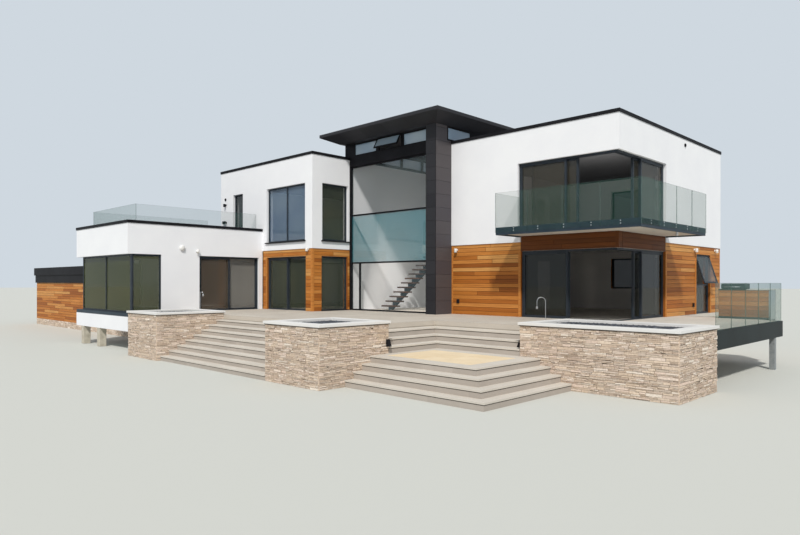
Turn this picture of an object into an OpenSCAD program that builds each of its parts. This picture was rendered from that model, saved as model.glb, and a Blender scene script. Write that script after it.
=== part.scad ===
// Detached house of three flat-roofed volumes on a raised terrace.
// +X runs along the garden front towards the balcony end, +Y runs into the house, +Z is up.
// The lawn is at z = 0, and all sizes are in millimetres.

/* [Levels] */
// Height of the terrace and of the ground floor above the lawn
deck_h = 1410; // [1200:10:1700]
// Door heads above the ground floor
head_h = 2200; // [2050:10:2350]
// Top of the timber boarding above the ground floor
band_h = 2500; // [2420:10:2600]
// Upper floor above the ground floor
storey_h = 2900; // [2850:10:3100]
// Upper window heads above the upper floor
upper_head_h = 2230; // [2100:10:2400]
// Foot of the upper windows below the upper floor
upper_sill_drop = 70; // [20:10:150]
// Parapet top above the ground floor
parapet_h = 6330; // [6150:10:6700]
// Height of the dark capping on each parapet
trim_h = 110; // [60:5:160]
// How far the dark capping stands out from the wall
trim_proud = 25; // [10:5:50]
// Flat roof surface below the parapet top
roof_drop = 350; // [250:10:450]
// Thickness of the flat roofs
roof_t = 350; // [250:10:400]
// Thickness of the ground floor slab
floor_t = 130; // [100:5:180]

/* [Walls] */
// Thickness of the outer walls
wall_t = 300; // [240:10:360]
// How far the timber boarding sits behind the render above it
timber_back = 30; // [10:5:60]

/* [Right wing] */
// Length of the right wing along the front
right_w = 6440; // [6000:10:7200]
// Depth of the right wing
right_d = 8830; // [8200:10:9600]
// Boarded wall on the front, measured from the pier
right_boards_w = 2990; // [2600:10:3200]
// Upper open corner, length along the front
upper_corner_w = 3560; // [3200:10:3900]
// Depth of both open corners on the side
corner_d = 3490; // [3100:10:3900]
// Window in the boarded side wall, distance from the rear corner
side_window_back = 1070; // [800:10:1400]
// Width of that window
side_window_w = 1460; // [1000:10:1600]
// Height of its transom above the floor
side_transom_h = 1080; // [900:10:1400]
// Opening angle of the light above that transom
side_open = 18; // [10:1:25]

/* [Balcony] */
// Balcony overhang in front of the wing
balcony_front = 1340; // [1100:10:1600]
// Balcony overhang beside the wing
balcony_side = 1250; // [1000:10:1500]
// Left end of the balcony inside the end of the open corner
balcony_inset = 70; // [0:10:200]
// Thickness of its steel edge
edge_t = 60; // [40:5:80]
// Soffit above the foot of the steel edge
soffit_up = 40; // [20:5:60]
// Balustrade glass laps down over the steel edge
glass_lap = 160; // [100:10:180]
// Number of panes on the front and on the side
balcony_panes = 4; // [3:1:5]
// Depth of the balcony edge beam
balcony_edge_h = 240; // [200:10:300]
// Height of the frameless balustrades
rail_h = 1100; // [1000:10:1200]
// Thickness of the balustrade glass
rail_t = 22; // [16:1:30]
// Side deck glass set in from the edge
rail_inset = 40; // [20:5:80]
// Gap between balustrade panes
rail_gap = 14; // [8:1:30]

/* [Hall] */
// Width of the glazed hall between the left block and the pier
hall_w = 4520; // [4200:10:5000]
// Width of the entrance pier
pier_w = 490; // [400:10:600]
// How far the pier stands in front of the right wing
pier_proud = 870; // [700:10:1000]
// Beam and clerestory behind the face of the pier
beam_back = 290; // [200:10:400]
// Hall glazing behind the face of the beam
beam_reveal = 70; // [30:5:120]
// Top of the doors below the middle band
low_transom_h = 1950; // [1850:10:2050]
// Top of the tinted middle band
high_transom_h = 3920; // [3700:10:4100]
// Depth of the beam over the hall glazing
beam_h = 390; // [300:10:450]
// Height of the clerestory above the beam
clerestory_h = 530; // [450:10:650]
// Clerestory oversail to the left
clerestory_out = 280; // [150:10:320]
// Roof overhang round the clerestory
roof_over = 600; // [450:10:750]
// Rise of the sloping soffit
soffit_rise = 270; // [200:10:320]
// Thickness of the roof edge
roof_edge_t = 120; // [90:5:160]
// Depth of the pier head beside the clerestory
pier_head_d = 630; // [500:10:800]
// Blank end of the clerestory beside its first light
clere_end = 630; // [400:10:700]
// Width of the bars between its lights
clere_bar = 150; // [80:5:200]
// Number of lights on its long side
clere_side_n = 6; // [4:1:8]
// Width of its light on the balcony side
right_light_w = 1290; // [900:10:1500]
// Opening angle of the middle light on its front
clere_open = 30; // [15:1:35]
// Stile of the lower hall glazing, distance from the left block
stile_x = 510; // [400:10:700]

/* [Left block] */
// Length of the upper storey
block_w = 6950; // [6700:10:7200]
// Length of its ground floor front
block_low_w = 3480; // [3360:10:3700]
// Front of the block ahead of the right wing
block_ahead = 2520; // [2300:10:2700]
// Boarded jamb beside the left wing
block_jamb_w = 310; // [200:10:400]
// Corner pier beside the sliding doors
block_pier_w = 460; // [380:10:520]
// Corner pier on the side
block_pier_d = 500; // [400:10:560]
// Length of the window beside the corner pier
block_side_win = 1360; // [1100:10:1400]
// Upper front window, distance from the corner
block_win_right = 470; // [350:10:600]
// Width of the upper front window
block_win_w = 2700; // [2400:10:2800]
// Width of the roof terrace door
terrace_door_w = 820; // [700:10:950]
// Roof terrace door, distance from the left end of the storey
terrace_door_left = 1070; // [900:10:1300]

/* [Left wing] */
// Length of the single storey wing front
wing_w = 5250; // [5000:10:5600]
// Front of the wing ahead of the block
wing_ahead = 5790; // [5400:10:6200]
// Top of the wing parapet above the ground floor
wing_parapet_h = 3450; // [3300:10:3600]
// Height of the white floor edge
wing_edge_h = 540; // [450:10:650]
// Oversail of roof and floor at the left end
wing_over = 290; // [200:10:500]
// Glazing on the right side, up to the white wall
wing_corner_d = 1280; // [1000:10:1500]
// White wall on the right side
wing_wall_d = 1570; // [1300:10:1800]
// Width of the sliding doors on the right side
wing_door_w = 2760; // [2400:10:2840]
// Glazing at the left end
wing_end_d = 2600; // [2200:10:3000]
// Side of the square concrete posts
post_w = 270; // [220:10:350]
// First post from the left end
post_first = 590; // [400:10:900]
// Spacing of the posts
post_pitch = 1700; // [1500:10:1900]
// Roof terrace glass set in from the parapet edge
terrace_rail_inset = 500; // [400:10:650]
// Height of that glass above the parapet
terrace_rail_h = 670; // [500:10:800]
// Side glazing set back under the roof edge
wing_glass_back = 40; // [20:5:80]
// Front glazing set back under the roof edge
wing_front_back = 160; // [100:10:220]

/* [Terrace] */
// Terrace edge behind the front of the wing
deck_back = 2000; // [1800:10:2300]
// Gap between the wing and the left planter
planter_gap = 1130; // [900:10:1400]
// Width of the left planter
left_planter_w = 2220; // [2000:10:2500]
// Width of the flight between the left and middle planters
left_flight_w = 6040; // [5600:10:6500]
// Width of the middle planter
middle_planter_w = 2250; // [2000:10:2500]
// Depth of the planters
planter_d = 2310; // [2200:10:2500]
// Left planter stands this much further forward
left_planter_out = 140; // [0:10:250]
// Thickness of the planter walls
planter_t = 250; // [200:10:320]
// Coping foot above the terrace
coping_rise = 80; // [50:5:120]
// Thickness of the coping
coping_t = 70; // [50:5:90]
// Coping overhang
coping_over = 40; // [20:5:60]
// Risers in the left flight
left_risers = 9; // [8:1:10]
// Tread depth in the left flight
left_tread = 288; // [250:2:300]
// Tread depth in the upper corner flight
upper_tread = 320; // [280:5:350]
// Tread depth in the lower corner flight
lower_tread = 280; // [260:5:320]
// Risers in each of the two corner flights
corner_risers = 4; // [3:1:5]
// Landing width from the middle planter
landing_w = 3360; // [3100:10:3600]
// Landing depth from the right planter
landing_d = 2570; // [2300:10:2800]
// Thickness of a tread slab
tread_t = 40; // [30:2:60]
// Nosing overhang
nosing = 18; // [10:1:30]
// Right planter starts this far beyond the middle planter
right_planter_x = 2760; // [2600:10:3000]
// Width of the right planter
right_planter_w = 3940; // [3700:10:4200]
// Right planter back ahead of the right wing
right_planter_ahead = 2090; // [1900:10:2300]
// Width of the side deck beyond the right wing
side_deck_w = 3320; // [3150:10:3500]
// Length of its steel edge behind the right planter
side_deck_d = 6080; // [5700:10:6400]
// Depth of the steel edge of the side deck
deck_beam_h = 470; // [380:10:520]
// Thickness of the steel edge
deck_beam_t = 120; // [80:5:160]
// Height of the side deck balustrade
deck_rail_h = 1150; // [1050:10:1200]
// Number of its panes
deck_panes = 5; // [4:1:7]
// First pane behind the right planter
deck_rail_back = 320; // [60:10:500]
// Side of the post under the steel edge
deck_post_w = 150; // [120:10:200]
// Post behind the right planter
deck_post_y = 5210; // [4800:10:5500]
// Counter at the end of the deck, distance from the right wing
counter_gap = 1420; // [1000:10:1600]
// Front of the counter behind the end of the steel edge
counter_back = 200; // [50:10:300]
// Length of the counter
counter_w = 1500; // [1300:10:1600]
// Depth of the counter
counter_d = 600; // [500:10:700]
// Height of the counter
counter_h = 920; // [850:10:1000]

/* [Garage] */
// Length of the garage wing
garage_w = 14500; // [13000:50:15500]
// Depth of the garage wing
garage_d = 6000; // [5400:50:6600]
// Front of the garage behind the front of the left wing
garage_back = 2570; // [2400:10:3000]
// Height of its stone plinth
garage_plinth_h = 350; // [250:10:450]
// Top of its boarding above the lawn
garage_boards_h = 2510; // [2400:10:2700]
// Height of its dark two-step fascia
garage_fascia_h = 890; // [800:10:1000]
// How far each step of the fascia stands out
garage_step = 60; // [40:5:90]

/* [Glazing] */
// Face width of the window and door frames
frame_w = 60; // [45:1:80]
// Depth of the window frames
frame_d = 80; // [60:5:100]
// Frame set behind the wall face
reveal = 100; // [60:5:120]
// Thickness of the glass units
glass_t = 28; // [20:1:36]
// Thickness of the sash of an open light
sash_t = 40; // [38:1:50]
// Running clearance round each sliding panel
slide_gap = 8; // [6:1:12]
// Overlap of two sliding panels where they meet
meet = 70; // [60:5:100]
// Height of the floor track of the open corners
track_h = 20; // [12:1:30]
// Parked panels stand this far beyond the fixed ones
park_shift = 370; // [200:10:450]
// Gap under the running shoes of the sliding panels
seat_gap = 0.3; // [0.2:0.05:0.5]
// Width of the rear windows of the right wing
rear_win_w = 2400; // [1800:10:2800]
// Sill of the rear windows above their floor
rear_sill_h = 900; // [700:10:1100]
// Blank wall beside the rear window of the hall
hall_win_side = 600; // [400:10:900]

/* [Stair] */
// Number of risers up to the upper floor
stair_risers = 15; // [14:1:17]
// Going of each stair tread
stair_going = 235; // [225:5:260]
// Width of the stair
stair_w = 850; // [800:10:1000]
// Stair clear of the left wall of the hall
stair_side = 700; // [600:10:800]
// Thickness of the timber treads
stair_tread_t = 60; // [40:5:80]
// Tread nosing over the one below
stair_lap = 30; // [15:1:50]
// Stair behind the hall glazing
stair_back = 1130; // [1000:10:1300]
// Width of the steel spine under the treads
spine_w = 60; // [40:5:90]
// Depth of that spine below the treads
spine_h = 120; // [100:5:160]
// Width of the doorways in the hall walls
doorway_w = 1000; // [900:10:1200]
// Height of those doorways
doorway_h = 2100; // [2000:10:2150]
// Doorways, distance from the rear face
doorway_back = 3000; // [2500:10:3500]

/* [Hidden] */

// Colours
c_render = "#e2e2e5";
c_timber = "#b5702f";
c_dark = "#34343a";
c_steel = "#34434d";
c_pier = "#403f43";
c_stone = "#c4ae93";
c_coping = "#e8e8ea";
c_tread = "#cfc9bc";
c_concrete = "#b9b3a6";
c_slate = "#4a4d55";
c_glass = [0.55, 0.68, 0.72, 0.45];
c_teal = [0.24, 0.5, 0.57, 0.6];

// Plan lines along the front, from the left end of the garage
x_wing0 = garage_w;
x_wing1 = x_wing0 + wing_w;
x_block1 = x_wing1 + block_low_w;
x_block0 = x_block1 - block_w;
x_pier0 = x_block1 + hall_w;
x_right0 = x_pier0 + pier_w;
x_right1 = x_right0 + right_w;
x_deck1 = x_right1 + side_deck_w;
x_glass0 = x_wing0 + wing_over;

// Plan lines in depth, from the front of the left wing
y_block = wing_ahead;
y_right = y_block + block_ahead;
y_rear = y_right + right_d;
y_pier = y_right - pier_proud;
y_beam = y_pier + beam_back;
y_hall = y_beam + beam_reveal;
y_cpost = y_pier + pier_head_d;
y_corner = y_right + corner_d;
y_gar0 = garage_back;
y_gar1 = y_gar0 + garage_d;
y_deck = deck_back;
y_rplanter1 = y_right - right_planter_ahead;
y_rplanter0 = y_rplanter1 - planter_d;

// Planters and flights
x_lp0 = x_wing1 + planter_gap;
x_lp1 = x_lp0 + left_planter_w;
x_mp0 = x_lp1 + left_flight_w;
x_mp1 = x_mp0 + middle_planter_w;
x_rp0 = x_mp1 + right_planter_x;
x_rp1 = x_rp0 + right_planter_w;
y_lp0 = y_deck - planter_d - left_planter_out;
y_mp0 = y_deck - planter_d;
upper_run = (corner_risers - 1) * upper_tread;
x_notch = x_mp1 - upper_run;
y_notch = y_rplanter0 + upper_run;
y_land0 = y_rplanter0 - landing_d;
x_land1 = x_mp1 + landing_w;
corner_riser = deck_h / (2 * corner_risers);
landing_h = corner_risers * corner_riser;
left_riser = deck_h / left_risers;
slab_t = floor(min(left_riser, corner_riser) - tread_t / 2);

// Levels
z_floor = deck_h;
z_head = deck_h + head_h;
z_band = deck_h + band_h;
z_upper = deck_h + storey_h;
z_usill = z_upper - upper_sill_drop;
z_uhead = z_upper + upper_head_h;
z_soffit = z_upper - balcony_edge_h + soffit_up;
z_par = deck_h + parapet_h;
z_wpar = deck_h + wing_parapet_h;
z_beam = z_par - beam_h;
z_clere = z_par + clerestory_h;
z_roof_top = z_clere + soffit_rise + roof_edge_t;

// Openings in the walls
x_bwin1 = x_block1 - block_win_right;
x_bwin0 = x_bwin1 - block_win_w;
x_tdoor0 = x_block0 + terrace_door_left;
y_bwin0 = y_block + block_pier_d;
x_bdoor0 = x_wing1 + block_jamb_w;
x_bdoor1 = x_block1 - block_pier_w;
x_bmeet = (x_bdoor0 + x_bdoor1 + meet) / 2;
y_wdoor0 = wing_corner_d + wing_wall_d;
y_wdoor1 = y_wdoor0 + wing_door_w;
y_wmeet = (y_wdoor0 + y_wdoor1 + meet) / 2;
x_gjoint = (x_glass0 + x_wing1) / 2;
x_rwin0 = (x_right0 + x_right1 - rear_win_w) / 2;
x_rwin1 = x_rwin0 + rear_win_w;
y_swin0 = y_rear - side_window_back - side_window_w;
y_door0 = y_rear - doorway_back;
x_hallwin0 = x_block1 + hall_win_side;
x_hallwin1 = x_right0 - wall_t - hall_win_side;
x_stile = x_block1 + stile_x;
x_kit0 = x_right0 + right_boards_w;
x_ucorner0 = x_right1 - upper_corner_w;

// Kitchen sliding panel, parked open behind the fixed one
function panel_meet(x0) = (x0 + frame_w + x_right1 - reveal - frame_d + meet) / 2;
y_kdoor = y_right + reveal + frame_d + slide_gap;
x_kdoor0 = x_kit0 + frame_w + slide_gap;
x_kdoor1 = x_kdoor0 + x_right1 - reveal - frame_d - slide_gap - panel_meet(x_kit0) + meet;
z_kdoor0 = z_floor + track_h + slide_gap;

// Clerestory, balcony, side deck and stair
x_clere0 = x_block1 - clerestory_out;
front_pitch = (x_pier0 - x_clere0 - clere_end) / 3;
side_pitch = (y_rear - y_beam - 2 * clere_end + clere_bar) / clere_side_n;
x_bal0 = x_ucorner0 + balcony_inset;
x_bal1 = x_right1 + balcony_side;
y_bal0 = y_right - balcony_front;
y_bal1 = y_corner;
y_sdeck1 = y_rplanter1 + side_deck_d;
x_counter0 = x_right1 + counter_gap;
x_counter1 = x_counter0 + counter_w;
y_counter0 = y_sdeck1 + counter_back;
y_counter1 = y_counter0 + counter_d;
stair_riser = round(storey_h / stair_risers * 10) / 10;
x_stair = x_block1 + stair_side;
y_stair = y_hall + stair_back;
y_gallery = y_stair + (stair_risers - 1) * stair_going;

// Overall box, so that the origin lies under its middle
x_mid = (max(x_deck1, x_rp1 + coping_over) - 2 * garage_step) / 2;
y_min = min(y_lp0 - coping_over, -trim_proud);
y_mid = (y_min + y_rear + roof_over) / 2;

// A block between two opposite corners
module block(x0, y0, z0, x1, y1, z1) {
    translate([x0, y0, z0]) cube([x1 - x0, y1 - y0, z1 - z0]);
}

// Four walls of thickness t round a rectangle
module ring(x0, y0, z0, x1, y1, z1, t) {
    difference() {
        block(x0, y0, z0, x1, y1, z1);
        block(x0 + t, y0 + t, z0 - 1, x1 - t, y1 - t, z1 + 1);
    }
}

// Window frame in a plane along X: bars between x0 and x1, with mullions and transoms
module frame_x(x0, x1, z0, z1, y, mullions = [], transoms = []) {
    xs = concat([x0], mullions, [x1]);
    zs = concat([z0], transoms, [z1]);
    difference() {
        block(x0, y, z0, x1, y + frame_d, z1);
        for (i = [0:len(xs) - 2], j = [0:len(zs) - 2])
            block(xs[i] + (i == 0 ? frame_w : frame_w / 2), y - 1, zs[j] + (j == 0 ? frame_w : frame_w / 2),
                xs[i + 1] - (i == len(xs) - 2 ? frame_w : frame_w / 2), y + frame_d + 1,
                zs[j + 1] - (j == len(zs) - 2 ? frame_w : frame_w / 2));
    }
}

// Glass of that frame, one pane in each light
module panes_x(x0, x1, z0, z1, y, mullions = [], transoms = []) {
    xs = concat([x0], mullions, [x1]);
    zs = concat([z0], transoms, [z1]);
    yg = y + (frame_d - glass_t) / 2;
    for (i = [0:len(xs) - 2], j = [0:len(zs) - 2])
        block(xs[i] + (i == 0 ? frame_w : frame_w / 2), yg, zs[j] + (j == 0 ? frame_w : frame_w / 2),
            xs[i + 1] - (i == len(xs) - 2 ? frame_w : frame_w / 2), yg + glass_t,
            zs[j + 1] - (j == len(zs) - 2 ? frame_w : frame_w / 2));
}

// The same frame and glass in a plane along Y, whose outer face is at x
module turn_y(x) {
    translate([x, 0, 0]) mirror([1, -1, 0]) children();
}

module frame_y(y0, y1, z0, z1, x, mullions = [], transoms = []) {
    turn_y(x) frame_x(y0, y1, z0, z1, 0, mullions, transoms);
}

module panes_y(y0, y1, z0, z1, x, mullions = [], transoms = []) {
    turn_y(x) panes_x(y0, y1, z0, z1, 0, mullions, transoms);
}

// Open top-hung light in a plane along X whose face is at y = 0: its hinge bar and sash, or its glass
module open_light(x0, x1, z0, z1, angle, glass) {
    top = z1 + frame_w / 2;
    h = z1 - z0 + frame_w;
    if (!glass) block(x0, -sash_t * 0.6, top - sash_t * 0.6, x1, 0, top);
    translate([0, 0, top]) rotate([-angle, 0, 0]) translate([0, -sash_t, -h])
        if (glass) block(x0 + frame_w / 2, (sash_t - glass_t) / 2, frame_w, x1 - frame_w / 2,
            (sash_t + glass_t) / 2, h - frame_w);
        else difference() {
            block(x0 - frame_w / 2, 0, 0, x1 + frame_w / 2, sash_t, h);
            block(x0 + frame_w / 2, -1, frame_w, x1 - frame_w / 2, sash_t + 1, h - frame_w);
        }
}

// Sliding panel in a plane along X: frame and glass
module leaf_frame_x(x0, x1, y) {
    frame_x(x0, x1, z_floor + slide_gap, z_head - slide_gap, y);
    shoes(x0, x1, y, z_floor);
}

module leaf_glass_x(x0, x1, y) {
    panes_x(x0, x1, z_floor + slide_gap, z_head - slide_gap, y);
}

// Two running shoes under a sliding panel, just clear of the floor at z
module shoes(x0, x1, y, z)
    for (x = [x0 + frame_w, x1 - 2 * frame_w])
        block(x, y + frame_d / 4, z + seat_gap, x + frame_w, y + frame_d * 3 / 4, z + slide_gap);

// Fixed frame round a sliding door: head and jambs, open at the floor, with one fixed light
module door_frame_x(x0, x1, xm, y) {
    difference() {
        block(x0, y, z_floor, x1, y + frame_d, z_head);
        block(x0 + frame_w, y - 1, z_floor - 1, x1 - frame_w, y + frame_d + 1, z_head - frame_w);
    }
    frame_x(x0 + frame_w, xm, z_floor, z_head - frame_w, y);
}

// Concrete walls under the floors and round the terrace
module foundation_walls() color(c_concrete) {
    z1 = z_floor - floor_t;
    difference() {
        union() {
            block(x_glass0, y_block, 0, x_wing1, y_rear, z1 - wing_edge_h);
            block(x_wing1, y_block, 0, x_block1, y_rear, z1);
            block(x_block1, y_hall, 0, x_right0, y_rear, z1);
            block(x_pier0, y_pier, 0, x_right0, y_rear, z1);
            block(x_right0, y_right, 0, x_right1, y_rear, z1);
        }
        block(x_glass0 + wall_t, y_block + wall_t, -1, x_block1 - wall_t, y_rear - wall_t, z1 + 1);
        block(x_block1, y_hall + wall_t, -1, x_right0 - wall_t, y_rear - wall_t, z1 + 1);
        block(x_right0, y_right + wall_t, -1, x_right1 - wall_t, y_rear - wall_t, z1 + 1);
    }
    block(x_wing1, y_deck, 0, x_wing1 + wall_t, y_block, z_floor - slab_t);
    block(x_wing1 + wall_t, y_deck, 0, x_lp0, y_deck + wall_t, z_floor - slab_t);
    block(x_right1 - wall_t, y_rplanter1, 0, x_right1, y_right, z_floor - slab_t);
}

// Paved terrace slab, cut back at the corner flight and shaped round the house
module terrace_deck() color(c_tread)
    translate([0, 0, z_floor - slab_t]) linear_extrude(slab_t) polygon([
        [x_wing1, y_deck], [x_lp1, y_deck], [x_lp1, y_deck - nosing], [x_mp0, y_deck - nosing],
        [x_mp0, y_deck], [x_notch + nosing, y_deck], [x_notch + nosing, y_notch - nosing],
        [x_rp0, y_notch - nosing], [x_rp0, y_rplanter1], [x_right1, y_rplanter1],
        [x_right1, y_right], [x_right0, y_right], [x_right0, y_pier], [x_pier0, y_pier],
        [x_pier0, y_hall], [x_block1, y_hall], [x_block1, y_block], [x_wing1, y_block]
    ]);

// Straight flight between the left and middle planters
module left_steps() color(c_tread) {
    n = left_risers;
    profile = concat(
        [for (i = [1:n - 1]) let (y = y_deck - (n - i) * left_tread, z = i * left_riser)
            each [[y, z - left_riser], [y, z - tread_t], [y - nosing, z - tread_t], [y - nosing, z]]],
        [[y_deck, (n - 1) * left_riser], [y_deck, z_floor - slab_t],
            [y_deck + wall_t, z_floor - slab_t], [y_deck + wall_t, 0]]
    );
    translate([x_lp1, 0, 0]) rotate([90, 0, 90]) linear_extrude(left_flight_w) polygon(profile);
}

// One level of the upper corner flight: it wraps the notch on two sides
module wrap_level(run, z0, z1, out) {
    x1 = x_mp1 - run;
    y0 = y_rplanter0 + run;
    block(x_notch - wall_t, y_deck, z0, x1 + out, y_notch + wall_t, z1);
    block(x_notch - wall_t, y0 - out, z0, x_rp0, y_notch + wall_t, z1);
}

// Flight that wraps round the inner corner, from the landing up to the terrace
module upper_steps() color(c_tread) {
    for (k = [1:corner_risers]) {
        run = (k - 1) * upper_tread;
        top = landing_h + k * corner_riser;
        wrap_level(run, k == 1 ? 0 : top - corner_riser, min(top, z_floor - slab_t), 0);
        if (k < corner_risers) wrap_level(run, top - tread_t, top, nosing);
    }
}

// Flight that wraps round the outer corner of the landing, down to the lawn
module lower_steps() color(c_tread)
    for (k = [1:corner_risers]) {
        run = (corner_risers - k) * lower_tread;
        top = k * corner_riser;
        block(x_mp1, y_land0 - run, 0, x_land1 + run, y_rplanter0, top);
        block(x_mp1, y_land0 - run - nosing, top - tread_t, x_land1 + run + nosing, y_rplanter0, top);
    }

// The three planters, given as left, front, right and back lines
planters = [
    [x_lp0, y_lp0, x_lp1, y_deck],
    [x_mp0, y_mp0, x_mp1, y_deck],
    [x_rp0, y_rplanter0, x_rp1, y_rplanter1]
];

module planter_walls() color(c_stone)
    for (p = planters) ring(p[0], p[1], 0, p[2], p[3], z_floor + coping_rise, planter_t);

module planter_copings() color(c_coping)
    for (p = planters)
        ring(p[0] - coping_over, p[1] - coping_over, z_floor + coping_rise, p[2] + coping_over,
            p[3] + coping_over, z_floor + coping_rise + coping_t, planter_t + 2 * coping_over);

module planter_beds() color(c_slate)
    for (p = planters)
        block(p[0] + planter_t, p[1] + planter_t, 0, p[2] - planter_t, p[3] - planter_t,
            z_floor + coping_rise);

// Square posts that carry the oversailing front of the left wing
module wing_posts() color(c_concrete)
    for (i = [0:1], y = [0, y_deck])
        translate([x_wing0 + post_first + i * post_pitch, y, 0])
            cube([post_w, post_w, z_floor - floor_t - wing_edge_h]);

module wing_floor() color(c_render)
    block(x_wing0, 0, z_floor - floor_t - wing_edge_h, x_wing1, y_rear, z_floor - floor_t);

module wing_sill() color(c_steel)
    block(x_wing0, 0, z_floor - floor_t, x_wing1, y_rear, z_floor);

// White wall between the glazed corner and the sliding doors, and the jamb beyond them
module wing_walls() color(c_render) {
    x0 = x_wing1 - wall_t;
    block(x0, wing_corner_d, z_floor, x_wing1, wing_corner_d + wing_wall_d, z_head);
    block(x0, wing_corner_d + wing_wall_d + wing_door_w, z_floor, x_wing1, y_block, z_head);
}

// Deep white band round the roof terrace, with the soffit under it
module wing_fascia() color(c_render)
    difference() {
        union() {
            block(x_wing0, 0, z_head, x_wing1, y_block, z_wpar - trim_h);
            block(x_wing0, y_block, z_head, x_block0, y_rear, z_wpar - trim_h);
        }
        block(x_wing0 + wall_t, wall_t, z_band, x_wing1 - wall_t, y_block + 1, z_wpar);
        block(x_wing0 + wall_t, y_block - 1, z_band, x_block0 + 1, y_rear - wall_t, z_wpar);
    }

// Ground floor walls behind the left wing: end, rear and the side next to the hall
module left_lower_walls() color(c_render)
    difference() {
        block(x_glass0, wing_end_d, z_floor, x_block1, y_rear, z_band);
        block(x_glass0 + wall_t, wing_end_d - 1, z_floor - 1, x_block1 - wall_t, y_rear - wall_t, z_band + 1);
        block(x_block1 - wall_t - 1, wing_end_d - 1, z_floor - 1, x_block1 + 1, y_hall, z_band + 1);
        block(x_glass0 - 1, wing_end_d - 1, z_head, x_block0, y_rear + 1, z_band + 1);
        block(x_bwin0, y_rear - wall_t - 1, z_floor + rear_sill_h, x_bwin1, y_rear + 1, z_head);
        block(x_block1 - wall_t - 1, y_door0, z_floor - 1, x_block1 + 1, y_door0 + doorway_w, z_floor + doorway_h);
    }

// Timber-clad ground floor front of the block: head band, jamb, corner pier and side
module block_timber_walls() color(c_timber)
    difference() {
        union() {
            block(x_wing1, y_block + timber_back, z_floor, x_block1 - timber_back, y_block + wall_t, z_band);
            block(x_block1 - wall_t, y_block + timber_back, z_floor, x_block1 - timber_back, y_hall, z_band);
        }
        block(x_bdoor0, y_block - 1, z_floor - 1, x_bdoor1, y_block + wall_t + 1, z_head);
        block(x_block1 - wall_t - 1, y_bwin0, z_floor - 1, x_block1 + 1, y_bwin0 + block_side_win, z_head);
    }

module block_front_wall() color(c_render)
    difference() {
        block(x_block0, y_block, z_band, x_block1, y_block + wall_t, z_par - trim_h);
        block(x_bwin0, y_block - 1, z_usill, x_bwin1, y_block + wall_t + 1, z_uhead);
        block(x_tdoor0, y_block - 1, z_upper, x_tdoor0 + terrace_door_w, y_block + wall_t + 1, z_uhead);
    }

// Left, rear and right walls of the upper storey
module block_upper_walls() color(c_render)
    difference() {
        block(x_block0, y_block + wall_t, z_band, x_block1, y_rear, z_par - trim_h);
        block(x_block0 + wall_t, y_block, z_band - 1, x_block1 - wall_t, y_rear - wall_t, z_par);
        block(x_block1 - wall_t - 1, y_bwin0, z_usill, x_block1 + 1, y_bwin0 + block_side_win, z_uhead);
        block(x_bwin0, y_rear - wall_t - 1, z_upper + rear_sill_h, x_bwin1, y_rear + 1, z_uhead);
        block(x_block1 - wall_t - 1, y_door0, z_upper, x_block1 + 1, y_door0 + doorway_w, z_upper + doorway_h);
    }

module ground_floor() color(c_tread)
    union() {
        block(x_wing1, y_block, z_floor - floor_t, x_block1, y_rear, z_floor);
        block(x_block1, y_hall, z_floor - floor_t, x_right0, y_rear, z_floor);
        block(x_pier0, y_pier, z_floor - floor_t, x_right0, y_hall, z_floor);
        block(x_right0, y_right, z_floor - floor_t, x_right1, y_rear, z_floor);
    }

// Upper floors of both wings, and the gallery at the head of the stair
module upper_floors() color(c_concrete) {
    block(x_block0 + wall_t, y_block + wall_t, z_band, x_block1 - wall_t, y_rear - wall_t, z_upper);
    block(x_right0, y_right + wall_t, z_band, x_right1 - wall_t, y_rear - wall_t, z_upper);
    block(x_block1, y_gallery, z_band, x_right0 - wall_t, y_rear - wall_t, z_upper);
}

module flat_roofs() color(c_slate) {
    z1 = z_par - roof_drop;
    block(x_block0 + wall_t, y_block + wall_t, z1 - roof_t, x_block1 - wall_t, y_rear - wall_t, z1);
    block(x_right0, y_right + wall_t, z1 - roof_t, x_right1 - wall_t, y_rear - wall_t, z1);
    block(x_wing0 + wall_t, wall_t, z_band, x_wing1 - wall_t, y_block, z_upper);
    block(x_wing0 + wall_t, y_block, z_band, x_block0, y_rear - wall_t, z_upper);
}

// Dark metal cappings on the parapets
module roof_trims() color(c_dark) {
    z0 = z_par - trim_h;
    p = trim_proud;
    difference() {
        union() {
            block(x_block0 - p, y_block - p, z0, x_block1, y_rear + p, z_par);
            block(x_block1 - p, y_block - p, z0, x_block1 + p, y_beam, z_par);
        }
        block(x_block0 + wall_t + p, y_block + wall_t + p, z0 - 1, x_block1 - wall_t - p,
            y_rear - wall_t - p, z_par + 1);
    }
    difference() {
        block(x_right0, y_right - p, z0, x_right1 + p, y_rear + p, z_par);
        block(x_right0 - 1, y_right + wall_t + p, z0 - 1, x_right1 - wall_t - p, y_rear - wall_t - p, z_par + 1);
    }
    difference() {
        union() {
            block(x_wing0 - p, -p, z_wpar - trim_h, x_wing1 + p, y_block, z_wpar);
            block(x_wing0 - p, y_block, z_wpar - trim_h, x_block0, y_rear + p, z_wpar);
        }
        block(x_wing0 + wall_t + p, wall_t + p, z_wpar - trim_h - 1, x_wing1 - wall_t - p, y_block + 1, z_wpar + 1);
        block(x_wing0 + wall_t + p, y_block - 1, z_wpar - trim_h - 1, x_block0 + 1, y_rear - wall_t - p, z_wpar + 1);
    }
}

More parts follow.
